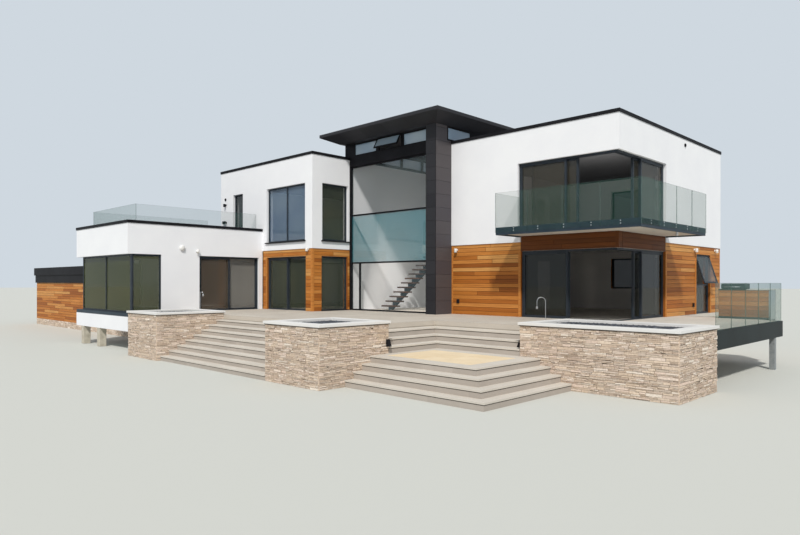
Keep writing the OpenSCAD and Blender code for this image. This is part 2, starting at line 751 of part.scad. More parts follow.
// Frames of the left wing and the left block
module left_frames() color(c_dark) {
    // Front glazing, glazed corner and glazed left end
    x1 = x_wing1 - wing_glass_back - frame_d;
    y = wing_front_back;
    frame_x(x_glass0, x1, z_floor, z_head, y, [x_gjoint]);
    frame_y(y, wing_corner_d, z_floor, z_head, x1);
    frame_y(y + frame_d, wing_end_d, z_floor, z_head, x_glass0);
    // Fixed part of the sliding doors on the right side
    turn_y(x_wing1 - reveal - frame_d)
        door_frame_x(y_wdoor0, y_wdoor1, y_wmeet, 0);
    // Windows of the block
    frame_x(x_bwin0, x_bwin1, z_usill, z_uhead, y_block + reveal, [(x_bwin0 + x_bwin1) / 2]);
    frame_x(x_tdoor0, x_tdoor0 + terrace_door_w, z_upper, z_uhead, y_block + reveal);
    frame_y(y_bwin0, y_bwin0 + block_side_win, z_usill, z_uhead, x_block1 - reveal - frame_d);
    frame_y(y_bwin0, y_bwin0 + block_side_win, z_floor, z_head, x_block1 - reveal - frame_d);
    // Sliding doors below
    door_frame_x(x_bdoor0, x_bdoor1, x_bmeet, y_block + reveal);
    // Rear windows
    frame_x(x_bwin0, x_bwin1, z_floor + rear_sill_h, z_head, y_rear - reveal - frame_d,
        [(x_bwin0 + x_bwin1) / 2]);
    frame_x(x_bwin0, x_bwin1, z_upper + rear_sill_h, z_uhead, y_rear - reveal - frame_d,
        [(x_bwin0 + x_bwin1) / 2]);
}

module left_glass() color(c_glass) {
    x1 = x_wing1 - wing_glass_back - frame_d;
    y = wing_front_back;
    panes_x(x_glass0, x1, z_floor, z_head, y, [x_gjoint]);
    panes_y(y, wing_corner_d, z_floor, z_head, x1);
    panes_y(y + frame_d, wing_end_d, z_floor, z_head, x_glass0);
    turn_y(x_wing1 - reveal - frame_d)
        panes_x(y_wdoor0 + frame_w, y_wmeet, z_floor, z_head - frame_w, 0);
    panes_x(x_bwin0, x_bwin1, z_usill, z_uhead, y_block + reveal, [(x_bwin0 + x_bwin1) / 2]);
    panes_x(x_tdoor0, x_tdoor0 + terrace_door_w, z_upper, z_uhead, y_block + reveal);
    panes_y(y_bwin0, y_bwin0 + block_side_win, z_usill, z_uhead, x_block1 - reveal - frame_d);
    panes_y(y_bwin0, y_bwin0 + block_side_win, z_floor, z_head, x_block1 - reveal - frame_d);
    panes_x(x_bdoor0 + frame_w, x_bmeet, z_floor, z_head - frame_w, y_block + reveal);
    panes_x(x_bwin0, x_bwin1, z_floor + rear_sill_h, z_head, y_rear - reveal - frame_d,
        [(x_bwin0 + x_bwin1) / 2]);
    panes_x(x_bwin0, x_bwin1, z_upper + rear_sill_h, z_uhead, y_rear - reveal - frame_d,
        [(x_bwin0 + x_bwin1) / 2]);
}

// Sliding panel of the left wing, behind its fixed light
module wing_door() color(c_dark)
    turn_y(x_wing1 - reveal - 2 * frame_d - slide_gap)
        leaf_frame_x(y_wmeet - meet, y_wdoor1 - slide_gap, 0);

module wing_door_glass() color(c_glass)
    turn_y(x_wing1 - reveal - 2 * frame_d - slide_gap)
        leaf_glass_x(y_wmeet - meet, y_wdoor1 - slide_gap, 0);

// Sliding panel of the left block, behind its fixed light
module block_door() color(c_dark)
    leaf_frame_x(x_bmeet - meet, x_bdoor1 - slide_gap, y_block + reveal + frame_d + slide_gap);

module block_door_glass() color(c_glass)
    leaf_glass_x(x_bmeet - meet, x_bdoor1 - slide_gap, y_block + reveal + frame_d + slide_gap);

// Frameless glass round the roof terrace
module roof_terrace_glass() color(c_glass) {
    i = terrace_rail_inset;
    z1 = z_wpar + terrace_rail_h;
    translate([0, 0, z_upper]) {
        block(x_wing0 + i, i, 0, x_wing1 - i, i + rail_t, z1 - z_upper);
        block(x_wing1 - i - rail_t, i + rail_t + rail_gap, 0, x_wing1 - i, y_block, z1 - z_upper);
        block(x_wing0 + i, i + rail_t + rail_gap, 0, x_wing0 + i + rail_t, y_block, z1 - z_upper);
    }
}

// Dark panelled pier between the hall and the right wing, up to the roof
module entrance_pier() color(c_pier) {
    block(x_pier0, y_pier, z_floor, x_right0, y_right + wall_t, z_par);
    block(x_pier0, y_pier, z_par, x_right0, y_cpost, z_clere);
}

module entrance_beam() color(c_dark)
    block(x_block1, y_beam, z_beam, x_pier0, y_beam + wall_t, z_par);

module entrance_frames() color(c_dark) {
    frame_x(x_block1, x_pier0, z_floor, z_beam, y_hall,
        [], [z_floor + low_transom_h, z_floor + high_transom_h]);
    block(x_stile, y_hall, z_floor + frame_w, x_stile + frame_w, y_hall + frame_d,
        z_floor + low_transom_h - frame_w / 2);
    block(x_block1, y_beam, z_floor, x_block1 + frame_w, y_hall, z_beam);
}

// Clear glass of the hall front and of its gallery
module entrance_glass() color(c_glass) {
    y = y_hall + (frame_d - glass_t) / 2;
    block(x_block1 + frame_w, y, z_floor + frame_w, x_stile, y + glass_t,
        z_floor + low_transom_h - frame_w / 2);
    block(x_stile + frame_w, y, z_floor + frame_w, x_pier0 - frame_w, y + glass_t,
        z_floor + low_transom_h - frame_w / 2);
    block(x_block1 + frame_w, y, z_floor + high_transom_h + frame_w / 2, x_pier0 - frame_w,
        y + glass_t, z_beam - frame_w);
    // Guard along the gallery, on both sides of the stair
    y1 = y_gallery + rail_inset;
    block(x_block1 + rail_gap, y1, z_upper, x_stair - rail_gap, y1 + rail_t, z_upper + rail_h);
    block(x_stair + stair_w + rail_gap, y1, z_upper, x_right0 - wall_t - rail_gap, y1 + rail_t, z_upper + rail_h);
}

module entrance_band() color(c_teal) {
    y = y_hall + (frame_d - glass_t) / 2;
    block(x_block1 + frame_w, y, z_floor + low_transom_h + frame_w / 2, x_pier0 - frame_w,
        y + glass_t, z_floor + high_transom_h - frame_w / 2);
}

// Clerestory lights, as left and right ends of each light along its side
front_lights = [for (i = [0:2]) [x_clere0 + clere_end + i * front_pitch, x_clere0 + clere_end
    + (i + 1) * front_pitch - clere_bar]];
left_lights = [for (i = [0:clere_side_n - 1]) [y_beam + clere_end + i * side_pitch, y_beam + clere_end
    + (i + 1) * side_pitch - clere_bar]];

// The lights of the clerestory as solids: holes when fat, panes when thin, with the front ones given
module clere_lights(t, grow, front) {
    z0 = z_par + frame_w;
    z1 = z_clere - frame_w;
    inset = (frame_d - t) / 2;
    for (i = front) let (l = front_lights[i])
        block(l[0], y_beam + inset - grow, z0, l[1], y_beam + inset + t + grow, z1);
    for (l = front_lights)
        block(l[0], y_rear - frame_d + inset - grow, z0, l[1], y_rear - frame_d + inset + t + grow, z1);
    for (l = left_lights)
        block(x_clere0 + inset - grow, l[0], z0, x_clere0 + inset + t + grow, l[1], z1);
    block(x_right0 - frame_d + inset - grow, y_cpost + frame_w, z0, x_right0 - frame_d + inset + t + grow,
        y_cpost + frame_w + right_light_w, z1);
}

// Middle light of the clerestory front, which stands open
module clere_open_light(glass)
    translate([0, y_beam, 0])
        open_light(front_lights[1][0], front_lights[1][1], z_par + frame_w, z_clere - frame_w, clere_open, glass);

module clerestory_frames() color(c_dark) {
    clere_open_light(false);
    difference() {
        ring(x_clere0, y_beam, z_par, x_right0, y_rear, z_clere, frame_d);
        block(x_pier0, y_pier, z_par - 1, x_right0 + 1, y_cpost, z_clere + 1);
        clere_lights(frame_d, 1, [0:2]);
    }
}

module clerestory_glass() color(c_glass) {
    clere_lights(glass_t, 0, [0, 2]);
    clere_open_light(true);
}

// Oversailing roof with a thin edge and a soffit that slopes in to the clerestory
module entrance_roof() color(c_dark) {
    o = roof_over;
    hull() {
        block(x_clere0, y_pier, z_clere, x_right0, y_rear, z_roof_top);
        block(x_clere0 - o, y_pier - o, z_roof_top - roof_edge_t, x_right0 + o, y_rear + o, z_roof_top);
    }
}

module hall_rear_wall() color(c_render)
    difference() {
        block(x_block1, y_rear - wall_t, z_floor, x_right0 - wall_t, y_rear, z_par);
        block(x_hallwin0, y_rear - wall_t - 1, z_upper + rear_sill_h, x_hallwin1, y_rear + 1, z_uhead);
    }

// Open timber treads on a steel spine, rising from the glazing to the gallery
module stair_treads() color(c_timber)
    for (i = [1:stair_risers - 1])
        translate([x_stair, y_stair + (i - 1) * stair_going - stair_lap, z_floor + i * stair_riser - stair_tread_t])
            cube([stair_w, stair_going + stair_lap, stair_tread_t]);

module stair_spine() color(c_steel) {
    n = stair_risers - 1;
    outline = concat(
        [[0, 0]],
        [for (i = [1:n]) each [[(i - 1) * stair_going, i * stair_riser - stair_tread_t],
            [i * stair_going, i * stair_riser - stair_tread_t]]],
        [[n * stair_going, (n - 1) * stair_riser - stair_tread_t - spine_h], [stair_going, 0]]
    );
    translate([x_stair + (stair_w - spine_w) / 2, y_stair, z_floor]) rotate([90, 0, 90])
        linear_extrude(spine_w) polygon(outline);
}

// Timber-clad ground floor of the right wing: front boards, and the head that meets the balcony soffit
module right_lower_front() color(c_timber) {
    block(x_right0, y_right + timber_back, z_floor, x_kit0, y_right + wall_t, z_band);
    block(x_kit0, y_right + timber_back, z_head, x_right1 - timber_back, y_right + wall_t, z_soffit);
}

// Timber-clad side and rear of the right wing
module right_lower_walls() color(c_timber)
    difference() {
        union() {
            block(x_right0, y_right + wall_t, z_floor, x_right1 - timber_back, y_rear - timber_back, z_band);
            block(x_right1 - wall_t, y_right + wall_t, z_head, x_right1 - timber_back, y_corner, z_soffit);
        }
        block(x_right0 - 1, y_right, z_floor - 1, x_right1 - wall_t, y_rear - wall_t, z_band + 1);
        block(x_right1 - wall_t - 1, y_right, z_floor - 1, x_right1, y_corner, z_head);
        block(x_right1 - wall_t - 1, y_swin0, z_floor - 1, x_right1, y_swin0 + side_window_w, z_head);
        block(x_rwin0, y_rear - wall_t - 1, z_floor + rear_sill_h, x_rwin1, y_rear, z_head);
    }

// Wall between the hall and the right wing
module right_hall_wall() color(c_render)
    difference() {
        block(x_right0 - wall_t, y_right + wall_t, z_floor, x_right0, y_rear, z_par);
        block(x_right0 - wall_t - 1, y_door0, z_floor - 1, x_right0 + 1, y_door0 + doorway_w, z_floor + doorway_h);
        block(x_right0 - wall_t - 1, y_door0, z_upper, x_right0 + 1, y_door0 + doorway_w, z_upper + doorway_h);
    }

module right_upper_front() color(c_render)
    difference() {
        block(x_right0, y_right, z_band, x_right1, y_right + wall_t, z_par - trim_h);
        block(x_kit0, y_right - 1, z_band - 1, x_right1 + 1, y_right + wall_t + 1, z_soffit);
        block(x_ucorner0, y_right - 1, z_usill, x_right1 + 1, y_right + wall_t + 1, z_uhead);
    }

module right_upper_walls() color(c_render)
    difference() {
        block(x_right0, y_right + wall_t, z_band, x_right1, y_rear, z_par - trim_h);
        block(x_right0 - 1, y_right, z_band - 1, x_right1 - wall_t, y_rear - wall_t, z_par);
        block(x_right1 - wall_t - 1, y_right, z_band - 1, x_right1 + 1, y_corner, z_soffit);
        block(x_right1 - wall_t - 1, y_right, z_usill, x_right1 + 1, y_corner, z_uhead);
        block(x_rwin0, y_rear - wall_t - 1, z_upper + rear_sill_h, x_rwin1, y_rear + 1, z_uhead);
    }

// Tracks, jambs and parked panels of an open corner, from x0 on the front to the rear jamb
module open_corner(x0, z0, z1, front_parked) {
    yf = y_right + reveal;
    xf = x_right1 - reveal;
    lanes = 2 * frame_d + slide_gap;
    for (z = [[z0, z0 + track_h], [z1 - frame_w, z1]]) {
        block(x0, yf, z[0], xf, yf + lanes, z[1]);
        block(xf - lanes, yf, z[0], xf, y_corner, z[1]);
    }
    block(x0, yf, z0, x0 + frame_w, yf + lanes, z1);
    block(xf - lanes, y_corner - frame_w, z0, xf, y_corner, z1);
    corner_leaves(x0, z0, z1, front_parked, true);
}

// Frames or glass of the fixed and parked panels of an open corner
module corner_leaves(x0, z0, z1, front_parked, frames) {
    yf = y_right + reveal;
    xf = x_right1 - reveal - frame_d;
    zb = z0 + track_h;
    zt = z1 - frame_w;
    xm = panel_meet(x0);
    ym = y_corner - (xm - x0);
    if (frames) {
        frame_x(x0 + frame_w, xm, zb, zt, yf);
        frame_y(ym, y_corner - frame_w, zb, zt, xf);
        frame_y(ym - park_shift, y_corner - frame_w - park_shift, zb, zt, xf - frame_d - slide_gap);
        if (front_parked)
            frame_x(x0 + frame_w + park_shift, xm + park_shift, zb, zt, yf + frame_d + slide_gap);
    } else {
        panes_x(x0 + frame_w, xm, zb, zt, yf);
        panes_y(ym, y_corner - frame_w, zb, zt, xf);
        panes_y(ym - park_shift, y_corner - frame_w - park_shift, zb, zt, xf - frame_d - slide_gap);
        if (front_parked)
            panes_x(x0 + frame_w + park_shift, xm + park_shift, zb, zt, yf + frame_d + slide_gap);
    }
}

// Upper light of the window in the boarded side wall, which stands open
module side_open_light(glass)
    translate([x_right1 - reveal, 0, 0]) rotate([0, 0, 90])
        open_light(y_swin0 + frame_w, y_swin0 + side_window_w - frame_w, z_floor + side_transom_h + frame_w / 2,
            z_head - frame_w, side_open, glass);

module right_frames() color(c_dark) {
    open_corner(x_kit0, z_floor, z_head, false);
    open_corner(x_ucorner0, z_usill, z_uhead, true);
    frame_y(y_swin0, y_swin0 + side_window_w, z_floor, z_head, x_right1 - reveal - frame_d, [],
        [z_floor + side_transom_h]);
    side_open_light(false);
    frame_x(x_rwin0, x_rwin1, z_floor + rear_sill_h, z_head, y_rear - reveal - frame_d,
        [(x_rwin0 + x_rwin1) / 2]);
    frame_x(x_rwin0, x_rwin1, z_upper + rear_sill_h, z_uhead, y_rear - reveal - frame_d,
        [(x_rwin0 + x_rwin1) / 2]);
    frame_x(x_hallwin0, x_hallwin1, z_upper + rear_sill_h, z_uhead, y_rear - reveal - frame_d);
}

module right_glass() color(c_glass) {
    corner_leaves(x_kit0, z_floor, z_head, false, false);
    corner_leaves(x_ucorner0, z_usill, z_uhead, true, false);
    panes_y(y_swin0, y_swin0 + side_window_w, z_floor, z_floor + side_transom_h + frame_w / 2,
        x_right1 - reveal - frame_d);
    side_open_light(true);
    panes_x(x_rwin0, x_rwin1, z_floor + rear_sill_h, z_head, y_rear - reveal - frame_d,
        [(x_rwin0 + x_rwin1) / 2]);
    panes_x(x_rwin0, x_rwin1, z_upper + rear_sill_h, z_uhead, y_rear - reveal - frame_d,
        [(x_rwin0 + x_rwin1) / 2]);
    panes_x(x_hallwin0, x_hallwin1, z_upper + rear_sill_h, z_uhead, y_rear - reveal - frame_d);
}

// Sliding panel of the kitchen front, parked behind the fixed one
module kitchen_door() color(c_dark) {
    frame_x(x_kdoor0, x_kdoor1, z_kdoor0, z_head - frame_w - slide_gap, y_kdoor);
    shoes(x_kdoor0, x_kdoor1, y_kdoor, z_floor + track_h);
}

module kitchen_door_glass() color(c_glass)
    panes_x(x_kdoor0, x_kdoor1, z_kdoor0, z_head - frame_w - slide_gap, y_kdoor);

// Steel edge round the balcony
module balcony_edge() color(c_steel)
    difference() {
        balcony_outline(z_upper - balcony_edge_h, z_upper, 0);
        balcony_outline(z_upper - balcony_edge_h - 1, z_upper + 1, edge_t);
    }

// Balcony plan as two blocks, set in by i from its outer edges
module balcony_outline(z0, z1, i) {
    block(x_bal0 + i, y_bal0 + i, z0, x_bal1 - i, y_right + (i > 0 ? 1 : 0), z1);
    block(x_right1 - (i > 0 ? 1 : 0), y_right - 1, z0, x_bal1 - i, y_bal1 - i, z1);
}

module balcony_deck() color(c_tread) {
    block(x_bal0 + edge_t, y_bal0 + edge_t, z_soffit, x_bal1 - edge_t, y_right, z_upper);
    block(x_right1, y_right - 1, z_soffit, x_bal1 - edge_t, y_bal1 - edge_t, z_upper);
}

// Frameless panes: along the balcony front, its side and its left end
module balcony_glass() color(c_glass) {
    z0 = z_upper - glass_lap;
    z1 = z_upper + rail_h;
    fw = (x_bal1 + rail_t - x_bal0 + rail_gap) / balcony_panes;
    sw = (y_bal1 - y_bal0 + rail_gap) / balcony_panes;
    for (i = [0:balcony_panes - 1]) {
        block(x_bal0 + i * fw, y_bal0 - rail_t, z0, x_bal0 + (i + 1) * fw - rail_gap, y_bal0, z1);
        block(x_bal1, y_bal0 + (i == 0 ? rail_gap : i * sw), z0, x_bal1 + rail_t,
            y_bal0 + (i + 1) * sw - rail_gap, z1);
    }
    block(x_bal0 - rail_t, y_bal0 + rail_gap, z0, x_bal0, y_right - rail_gap, z1);
}

// Side deck plan, set in by i from its steel edge: the deck and its narrower end under the counter
module side_deck_outline(z0, z1, i) {
    block(x_right1, y_rplanter1, z0, x_deck1 - i, y_sdeck1 - i, z1);
    block(x_right1, y_sdeck1 - i - 1, z0, x_counter1 - i, y_counter1 - i, z1);
}

module side_deck() color(c_tread)
    union() side_deck_outline(z_floor - slab_t, z_floor, deck_beam_t);

module side_deck_frame() color(c_steel) {
    z0 = z_floor - deck_beam_h;
    y_post = y_rplanter1 + deck_post_y;
    difference() {
        side_deck_outline(z0, z_floor, 0);
        translate([-1, -1, 0]) side_deck_outline(z0 - 1, z_floor + 1, deck_beam_t - 1);
    }
    block(x_deck1 - deck_post_w, y_post, 0, x_deck1, y_post + deck_post_w, z0);
}

module side_deck_glass() color(c_glass) {
    x0 = x_deck1 - rail_inset - rail_t;
    y0 = y_rplanter1 + deck_rail_back;
    w = (y_sdeck1 - y0 + rail_gap) / deck_panes;
    for (i = [0:deck_panes - 1])
        block(x0, y0 + i * w, z_floor, x0 + rail_t, y0 + (i + 1) * w - rail_gap, z_floor + deck_rail_h);
}

// Timber-clad counter beyond the end of the side deck, with a pale worktop
module deck_counter() color(c_timber)
    block(x_counter0, y_counter0, z_floor, x_counter1, y_counter1, z_floor + counter_h);

// Stone plinth, boarded walls and two-step fascia of the garage wing
module garage_plinth() color(c_stone)
    ring(0, y_gar0, 0, x_wing0, y_gar1, garage_plinth_h, wall_t);

module garage_walls() color(c_timber)
    ring(0, y_gar0, garage_plinth_h, x_wing0, y_gar1, garage_boards_h, wall_t);

module garage_fascia() color(c_dark) {
    step = garage_fascia_h / 2;
    p = garage_step;
    difference() {
        union() {
            block(-p, y_gar0 - p, garage_boards_h, x_wing0, y_gar1 + p, garage_boards_h + step);
            block(-2 * p, y_gar0 - 2 * p, garage_boards_h + step, x_wing0, y_gar1 + 2 * p,
                garage_boards_h + garage_fascia_h);
        }
        block(wall_t, y_gar0 + wall_t, garage_boards_h - 1, x_wing0 - wall_t, y_gar1 - wall_t,
            garage_boards_h + step - roof_t / 2);
        block(wall_t, y_gar0 + wall_t, garage_boards_h + step + roof_t / 2, x_wing0 - wall_t,
            y_gar1 - wall_t, garage_boards_h + garage_fascia_h + 1);
    }
}

module placed() { translate([-x_mid, -y_mid, 0]) children(); }

placed() foundation_walls();
placed() terrace_deck();
placed() left_steps();
placed() upper_steps();
placed() lower_steps();
placed() planter_walls();
placed() planter_copings();
placed() planter_beds();
placed() wing_posts();
placed() wing_floor();
placed() wing_sill();
placed() wing_walls();
placed() wing_fascia();
placed() roof_terrace_glass();
placed() left_lower_walls();
placed() block_timber_walls();
placed() block_front_wall();
placed() block_upper_walls();
placed() left_frames();
placed() left_glass();
placed() wing_door();
placed() wing_door_glass();
placed() block_door();
placed() block_door_glass();
placed() ground_floor();
placed() upper_floors();
placed() flat_roofs();
placed() roof_trims();
placed() entrance_pier();
placed() entrance_beam();
placed() entrance_frames();
placed() entrance_glass();
placed() entrance_band();
placed() clerestory_frames();
placed() clerestory_glass();
placed() entrance_roof();
placed() hall_rear_wall();
placed() stair_treads();
placed() stair_spine();
placed() right_lower_front();
placed() right_lower_walls();
placed() right_hall_wall();
placed() right_upper_front();
placed() right_upper_walls();
placed() right_frames();
placed() right_glass();
placed() kitchen_door();
placed() kitchen_door_glass();
placed() balcony_edge();
placed() balcony_deck();
placed() balcony_glass();
placed() side_deck();
placed() side_deck_frame();
placed() side_deck_glass();
placed() deck_counter();
placed() garage_plinth();
placed() garage_walls();
placed() garage_fascia();
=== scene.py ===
# %% [markdown]
# # A detached house on a raised terrace
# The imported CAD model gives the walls, floors, frames, glass and steps in their right places.
# This lesson dresses them: it cuts the boarding into boards and the planter walls into stones,
# lays the paving, adds lamps, sills and fixings, and gives each surface the finish of the real one.
# One frame holds it all: metres, +X along the garden front, +Y into the house, +Z up.

# %% The frame
import math
import random

import bmesh
import bpy
from mathutils import Matrix, Vector


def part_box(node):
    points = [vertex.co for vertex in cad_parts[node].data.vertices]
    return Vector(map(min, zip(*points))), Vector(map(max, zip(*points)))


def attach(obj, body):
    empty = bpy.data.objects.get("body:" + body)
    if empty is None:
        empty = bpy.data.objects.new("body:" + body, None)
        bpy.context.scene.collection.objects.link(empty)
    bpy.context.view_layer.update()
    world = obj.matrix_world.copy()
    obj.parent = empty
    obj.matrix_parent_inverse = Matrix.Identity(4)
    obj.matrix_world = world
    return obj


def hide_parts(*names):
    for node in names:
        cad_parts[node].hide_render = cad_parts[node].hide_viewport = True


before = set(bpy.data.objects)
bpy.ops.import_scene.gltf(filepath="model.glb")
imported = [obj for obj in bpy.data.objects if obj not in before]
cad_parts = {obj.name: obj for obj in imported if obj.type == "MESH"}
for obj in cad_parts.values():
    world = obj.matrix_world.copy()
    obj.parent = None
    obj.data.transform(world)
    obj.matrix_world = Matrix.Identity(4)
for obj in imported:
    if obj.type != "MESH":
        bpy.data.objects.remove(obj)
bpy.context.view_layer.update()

# %% [markdown]
# ## Where things are
# The plan of the house counts from the left end of the garage and from the front of the left wing.
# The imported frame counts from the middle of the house, so one vector joins the two.
# It is read off two nodes, and so it stays right when the house is made longer or shorter. The
# levels of the floors, of the door heads and of the band over them, and the main wall faces, are
# read off once and named.

# %% Plan lines
ORIGIN = Vector((-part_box("garage_walls")[0].x, -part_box("wing_floor")[0].y, 0.0))
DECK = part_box("terrace_deck")[1].z
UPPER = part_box("upper_floors")[1].z
HEAD = DECK + 2.2
BAND = DECK + 2.5


def at(x, y, z):
    """A point of the plan, in metres, as a point of the frame"""
    return Vector((x, y, z)) - ORIGIN


def sides(node):
    """The lowest and highest corner of a node, in plan metres"""
    low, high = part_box(node)
    return low + ORIGIN, high + ORIGIN


WING_SIDE = sides("wing_walls")[1].x
BLOCK_FRONT, BLOCK_SIDE = sides("block_timber_walls")[0].y, sides("block_timber_walls")[1].x
UPPER_FRONT, UPPER_SIDE = sides("block_front_wall")[0].y, sides("block_front_wall")[1].x
RIGHT_FRONT, RIGHT_SIDE = sides("right_lower_front")[0].y, sides("right_lower_walls")[1].x
print("terrace at", round(DECK, 3), "m, upper floor at", round(UPPER, 3), "m")
print("block front", round(BLOCK_FRONT, 3), "m, right wing front", round(RIGHT_FRONT, 3), "m")

# %% [markdown]
# ## The camera
# The photograph was taken from the lawn, level, with a wide lens, and its frame was moved up a
# little, so that the walls stay upright. A camera with a tilt would lean them. So the camera looks
# along the level, and its shift moves the frame, as on a view camera.

# %% The camera
EYE = Vector((24.195, -18.255, 2.56))
LOOK = Vector((-0.70022, 0.71393, 0.0))
ROLL = 0.001346
FOCAL_PX = 634.54
RISE_PX = 14.92
WIDTH_PX = 800
SENSOR = 36.0

camera = bpy.data.objects.new("camera", bpy.data.cameras.new("camera"))
bpy.context.scene.collection.objects.link(camera)
right = LOOK.cross(Vector((0, 0, 1))).normalized()
up = (Vector((0, 0, 1)) - ROLL * right).normalized()
right = (right + ROLL * Vector((0, 0, 1))).normalized()
turn = Matrix((right, up, -LOOK.normalized())).transposed().to_4x4()
camera.matrix_world = Matrix.Translation(EYE) @ turn
camera.data.sensor_width = SENSOR
camera.data.lens = FOCAL_PX * SENSOR / WIDTH_PX
camera.data.shift_y = RISE_PX / WIDTH_PX
camera.data.clip_end = 500
bpy.context.scene.camera = camera
print("lens", round(camera.data.lens, 2), "mm")

# %% [markdown]
# ## Floor and light
# The object stands on a plain pale floor. A soft sun from the front right, as high as the shadow
# of the balcony tells, lights the two faces that the camera sees, and the sky fills the shade. What
# the camera and the glass see behind the house is a plain pale blue grey, so that white walls stand
# out from it.


# %% Small helpers for colours and nodes
def linear(code):
    """The linear colour of a hex value"""
    parts = [int(code[i:i + 2], 16) / 255 for i in (1, 3, 5)]
    return [p / 12.92 if p <= 0.04045 else ((p + 0.055) / 1.055) ** 2.4 for p in parts] + [1.0]


def add(tree, kind, inputs=None, stops=None, **settings):
    """Adds one node: settings go to the node, inputs to its sockets, as values or as links"""
    node = tree.nodes.new("ShaderNode" + kind)
    for name, value in settings.items():
        setattr(node, name, value)
    for name, value in (inputs or {}).items():
        if isinstance(value, bpy.types.NodeSocket):
            tree.links.new(value, node.inputs[name])
        else:
            node.inputs[name].default_value = value
    for i, (place, code) in enumerate(stops or []):
        band = node.color_ramp.elements
        stop = band[i] if i < len(band) else band.new(place)
        stop.position, stop.color = place, linear(code)
    return node


def every(millimetres):
    """The texture scale at which a pattern repeats about every so many millimetres"""
    return 1000 / millimetres


# %% The world and the sun
BACKDROP = "#cfd8e0"
SKY_FILL = 0.56
TO_SUN = Vector((0.46, -0.53, 0.715))
world = bpy.data.worlds.new("studio")
bpy.context.scene.world = world
world.use_nodes = True
sky = world.node_tree
sky.nodes.clear()
path = add(sky, "LightPath")
seen = path.outputs["Is Camera Ray"]
for kind in ("Glossy", "Transmission"):
    seen = add(sky, "Math", {0: seen, 1: path.outputs[f"Is {kind} Ray"]}, operation="MAXIMUM").outputs[0]
fill = add(sky, "Background", {"Color": linear("#e9eff6"), "Strength": SKY_FILL})
behind = add(sky, "Background", {"Color": linear(BACKDROP), "Strength": 1.0})
both = add(sky, "MixShader", {0: seen, 1: fill.outputs[0], 2: behind.outputs[0]})
add(sky, "OutputWorld", {"Surface": both.outputs[0]})

sun = bpy.data.objects.new("sun", bpy.data.lights.new("sun", "SUN"))
sun.data.energy = 2.95
sun.data.angle = math.radians(4.5)
sun.data.color = linear("#fffaf2")[:3]
sun.rotation_euler = TO_SUN.to_track_quat("Z", "Y").to_euler()
bpy.context.scene.collection.objects.link(sun)
bpy.context.scene.view_settings.view_transform = "Standard"
print("sun", round(math.degrees(math.asin(TO_SUN.normalized().z))), "degrees high")

# %% The floor
floor_bm = bmesh.new()
bmesh.ops.create_grid(floor_bm, x_segments=1, y_segments=1, size=300)
floor_mesh = bpy.data.meshes.new("floor")
floor_bm.to_mesh(floor_mesh)
floor_bm.free()
floor = bpy.data.objects.new("floor", floor_mesh)
floor.location.z = -0.002
bpy.context.scene.collection.objects.link(floor)
ground = bpy.data.materials.new("studio_floor")
ground.use_nodes = True
ground_shader = ground.node_tree.nodes["Principled BSDF"]
ground_shader.inputs["Base Color"].default_value = linear("#c9cbc6")
ground_shader.inputs["Roughness"].default_value = 0.9
floor_mesh.materials.append(ground)

# %% [markdown]
# Seen from a sunlit garden a room is nearly black, but the hall and the corner room have so much
# glass that their walls and ceilings still show. One soft light in each of these two rooms stands
# for the daylight that comes in at the back.


# %% Light inside two rooms
def room_light(name, place, aim, watts, width):
    """A soft light inside a room, which the camera doesn't see"""
    glow = bpy.data.objects.new(name, bpy.data.lights.new(name, "AREA"))
    glow.data.energy = watts
    glow.data.size = width
    glow.data.color = linear("#fff6ea")[:3]
    glow.location = place
    glow.rotation_euler = (-Vector(aim)).to_track_quat("Z", "Y").to_euler()
    glow.visible_camera = False
    glow.visible_glossy = False
    bpy.context.scene.collection.objects.link(glow)


hall_low, hall_high = sides("entrance_glass")
hall_middle = (hall_low.x + hall_high.x) / 2
room_low, room_high = sides("right_upper_front")
corner = at(room_high.x - 2.0, room_low.y + 2.0, UPPER + 0.5)
room_light("hall_light", at(hall_middle, hall_low.y + 0.9, DECK + 1.6), (0, 1, -0.25), 50, 3.0)
room_light("corner_room_light", corner, (0, 0.2, 1), 45, 1.5)
print(len(bpy.data.lights), "lights")

# %% [markdown]
# ## How a finish is made
# Every finish starts from one Principled shader. What is the same all over goes straight on the
# shader's sockets. What changes over the surface comes from patterns with the real size of the
# grain, chip or board, on Object coordinates, so that a pattern runs on from one piece to the next.
# Boards, stones and slabs carry a number called tone on each face, and the joint between them has
# a tone below zero.


# %% Starting a finish
def finish(name, roughness, metallic=0.0, **constants):
    """A material with an empty principled shader: returns it with its tree, shader and place"""
    made = bpy.data.materials.new(name)
    made.use_nodes = True
    tree = made.node_tree
    tree.nodes.clear()
    inputs = {"Roughness": roughness, "Metallic": metallic}
    inputs.update({key.replace("_", " "): value for key, value in constants.items()})
    shader = add(tree, "BsdfPrincipled", inputs)
    add(tree, "OutputMaterial", {"Surface": shader.outputs[0]})
    place = add(tree, "TexCoord").outputs["Object"]
    return made, tree, shader, place


def grain(tree, shader, place, size_mm, depth_mm, strength=0.5):
    """A fine bump of the given grain on the shader"""
    noise = add(tree, "TexNoise", {"Vector": place, "Scale": every(size_mm), "Detail": 3.0})
    bumped(tree, shader, noise, strength, depth_mm)


def bumped(tree, shader, noise, strength, depth_mm):
    """Lets a noise push the shader's surface in and out by the given depth"""
    bump = add(tree, "Bump", {"Height": noise.outputs["Fac"], "Strength": strength,
                              "Distance": depth_mm / 1000})
    tree.links.new(bump.outputs["Normal"], shader.inputs["Normal"])


def toned(name, roughness, stops, **constants):
    """A finish whose colour follows the tone of each face: it also returns the tone and that colour"""
    made, tree, shader, place = finish(name, roughness, **constants)
    tone = add(tree, "Attribute", attribute_name="tone").outputs["Fac"]
    body = add(tree, "ValToRGB", {"Fac": tone}, stops=stops).outputs["Color"]
    return made, tree, shader, place, tone, body


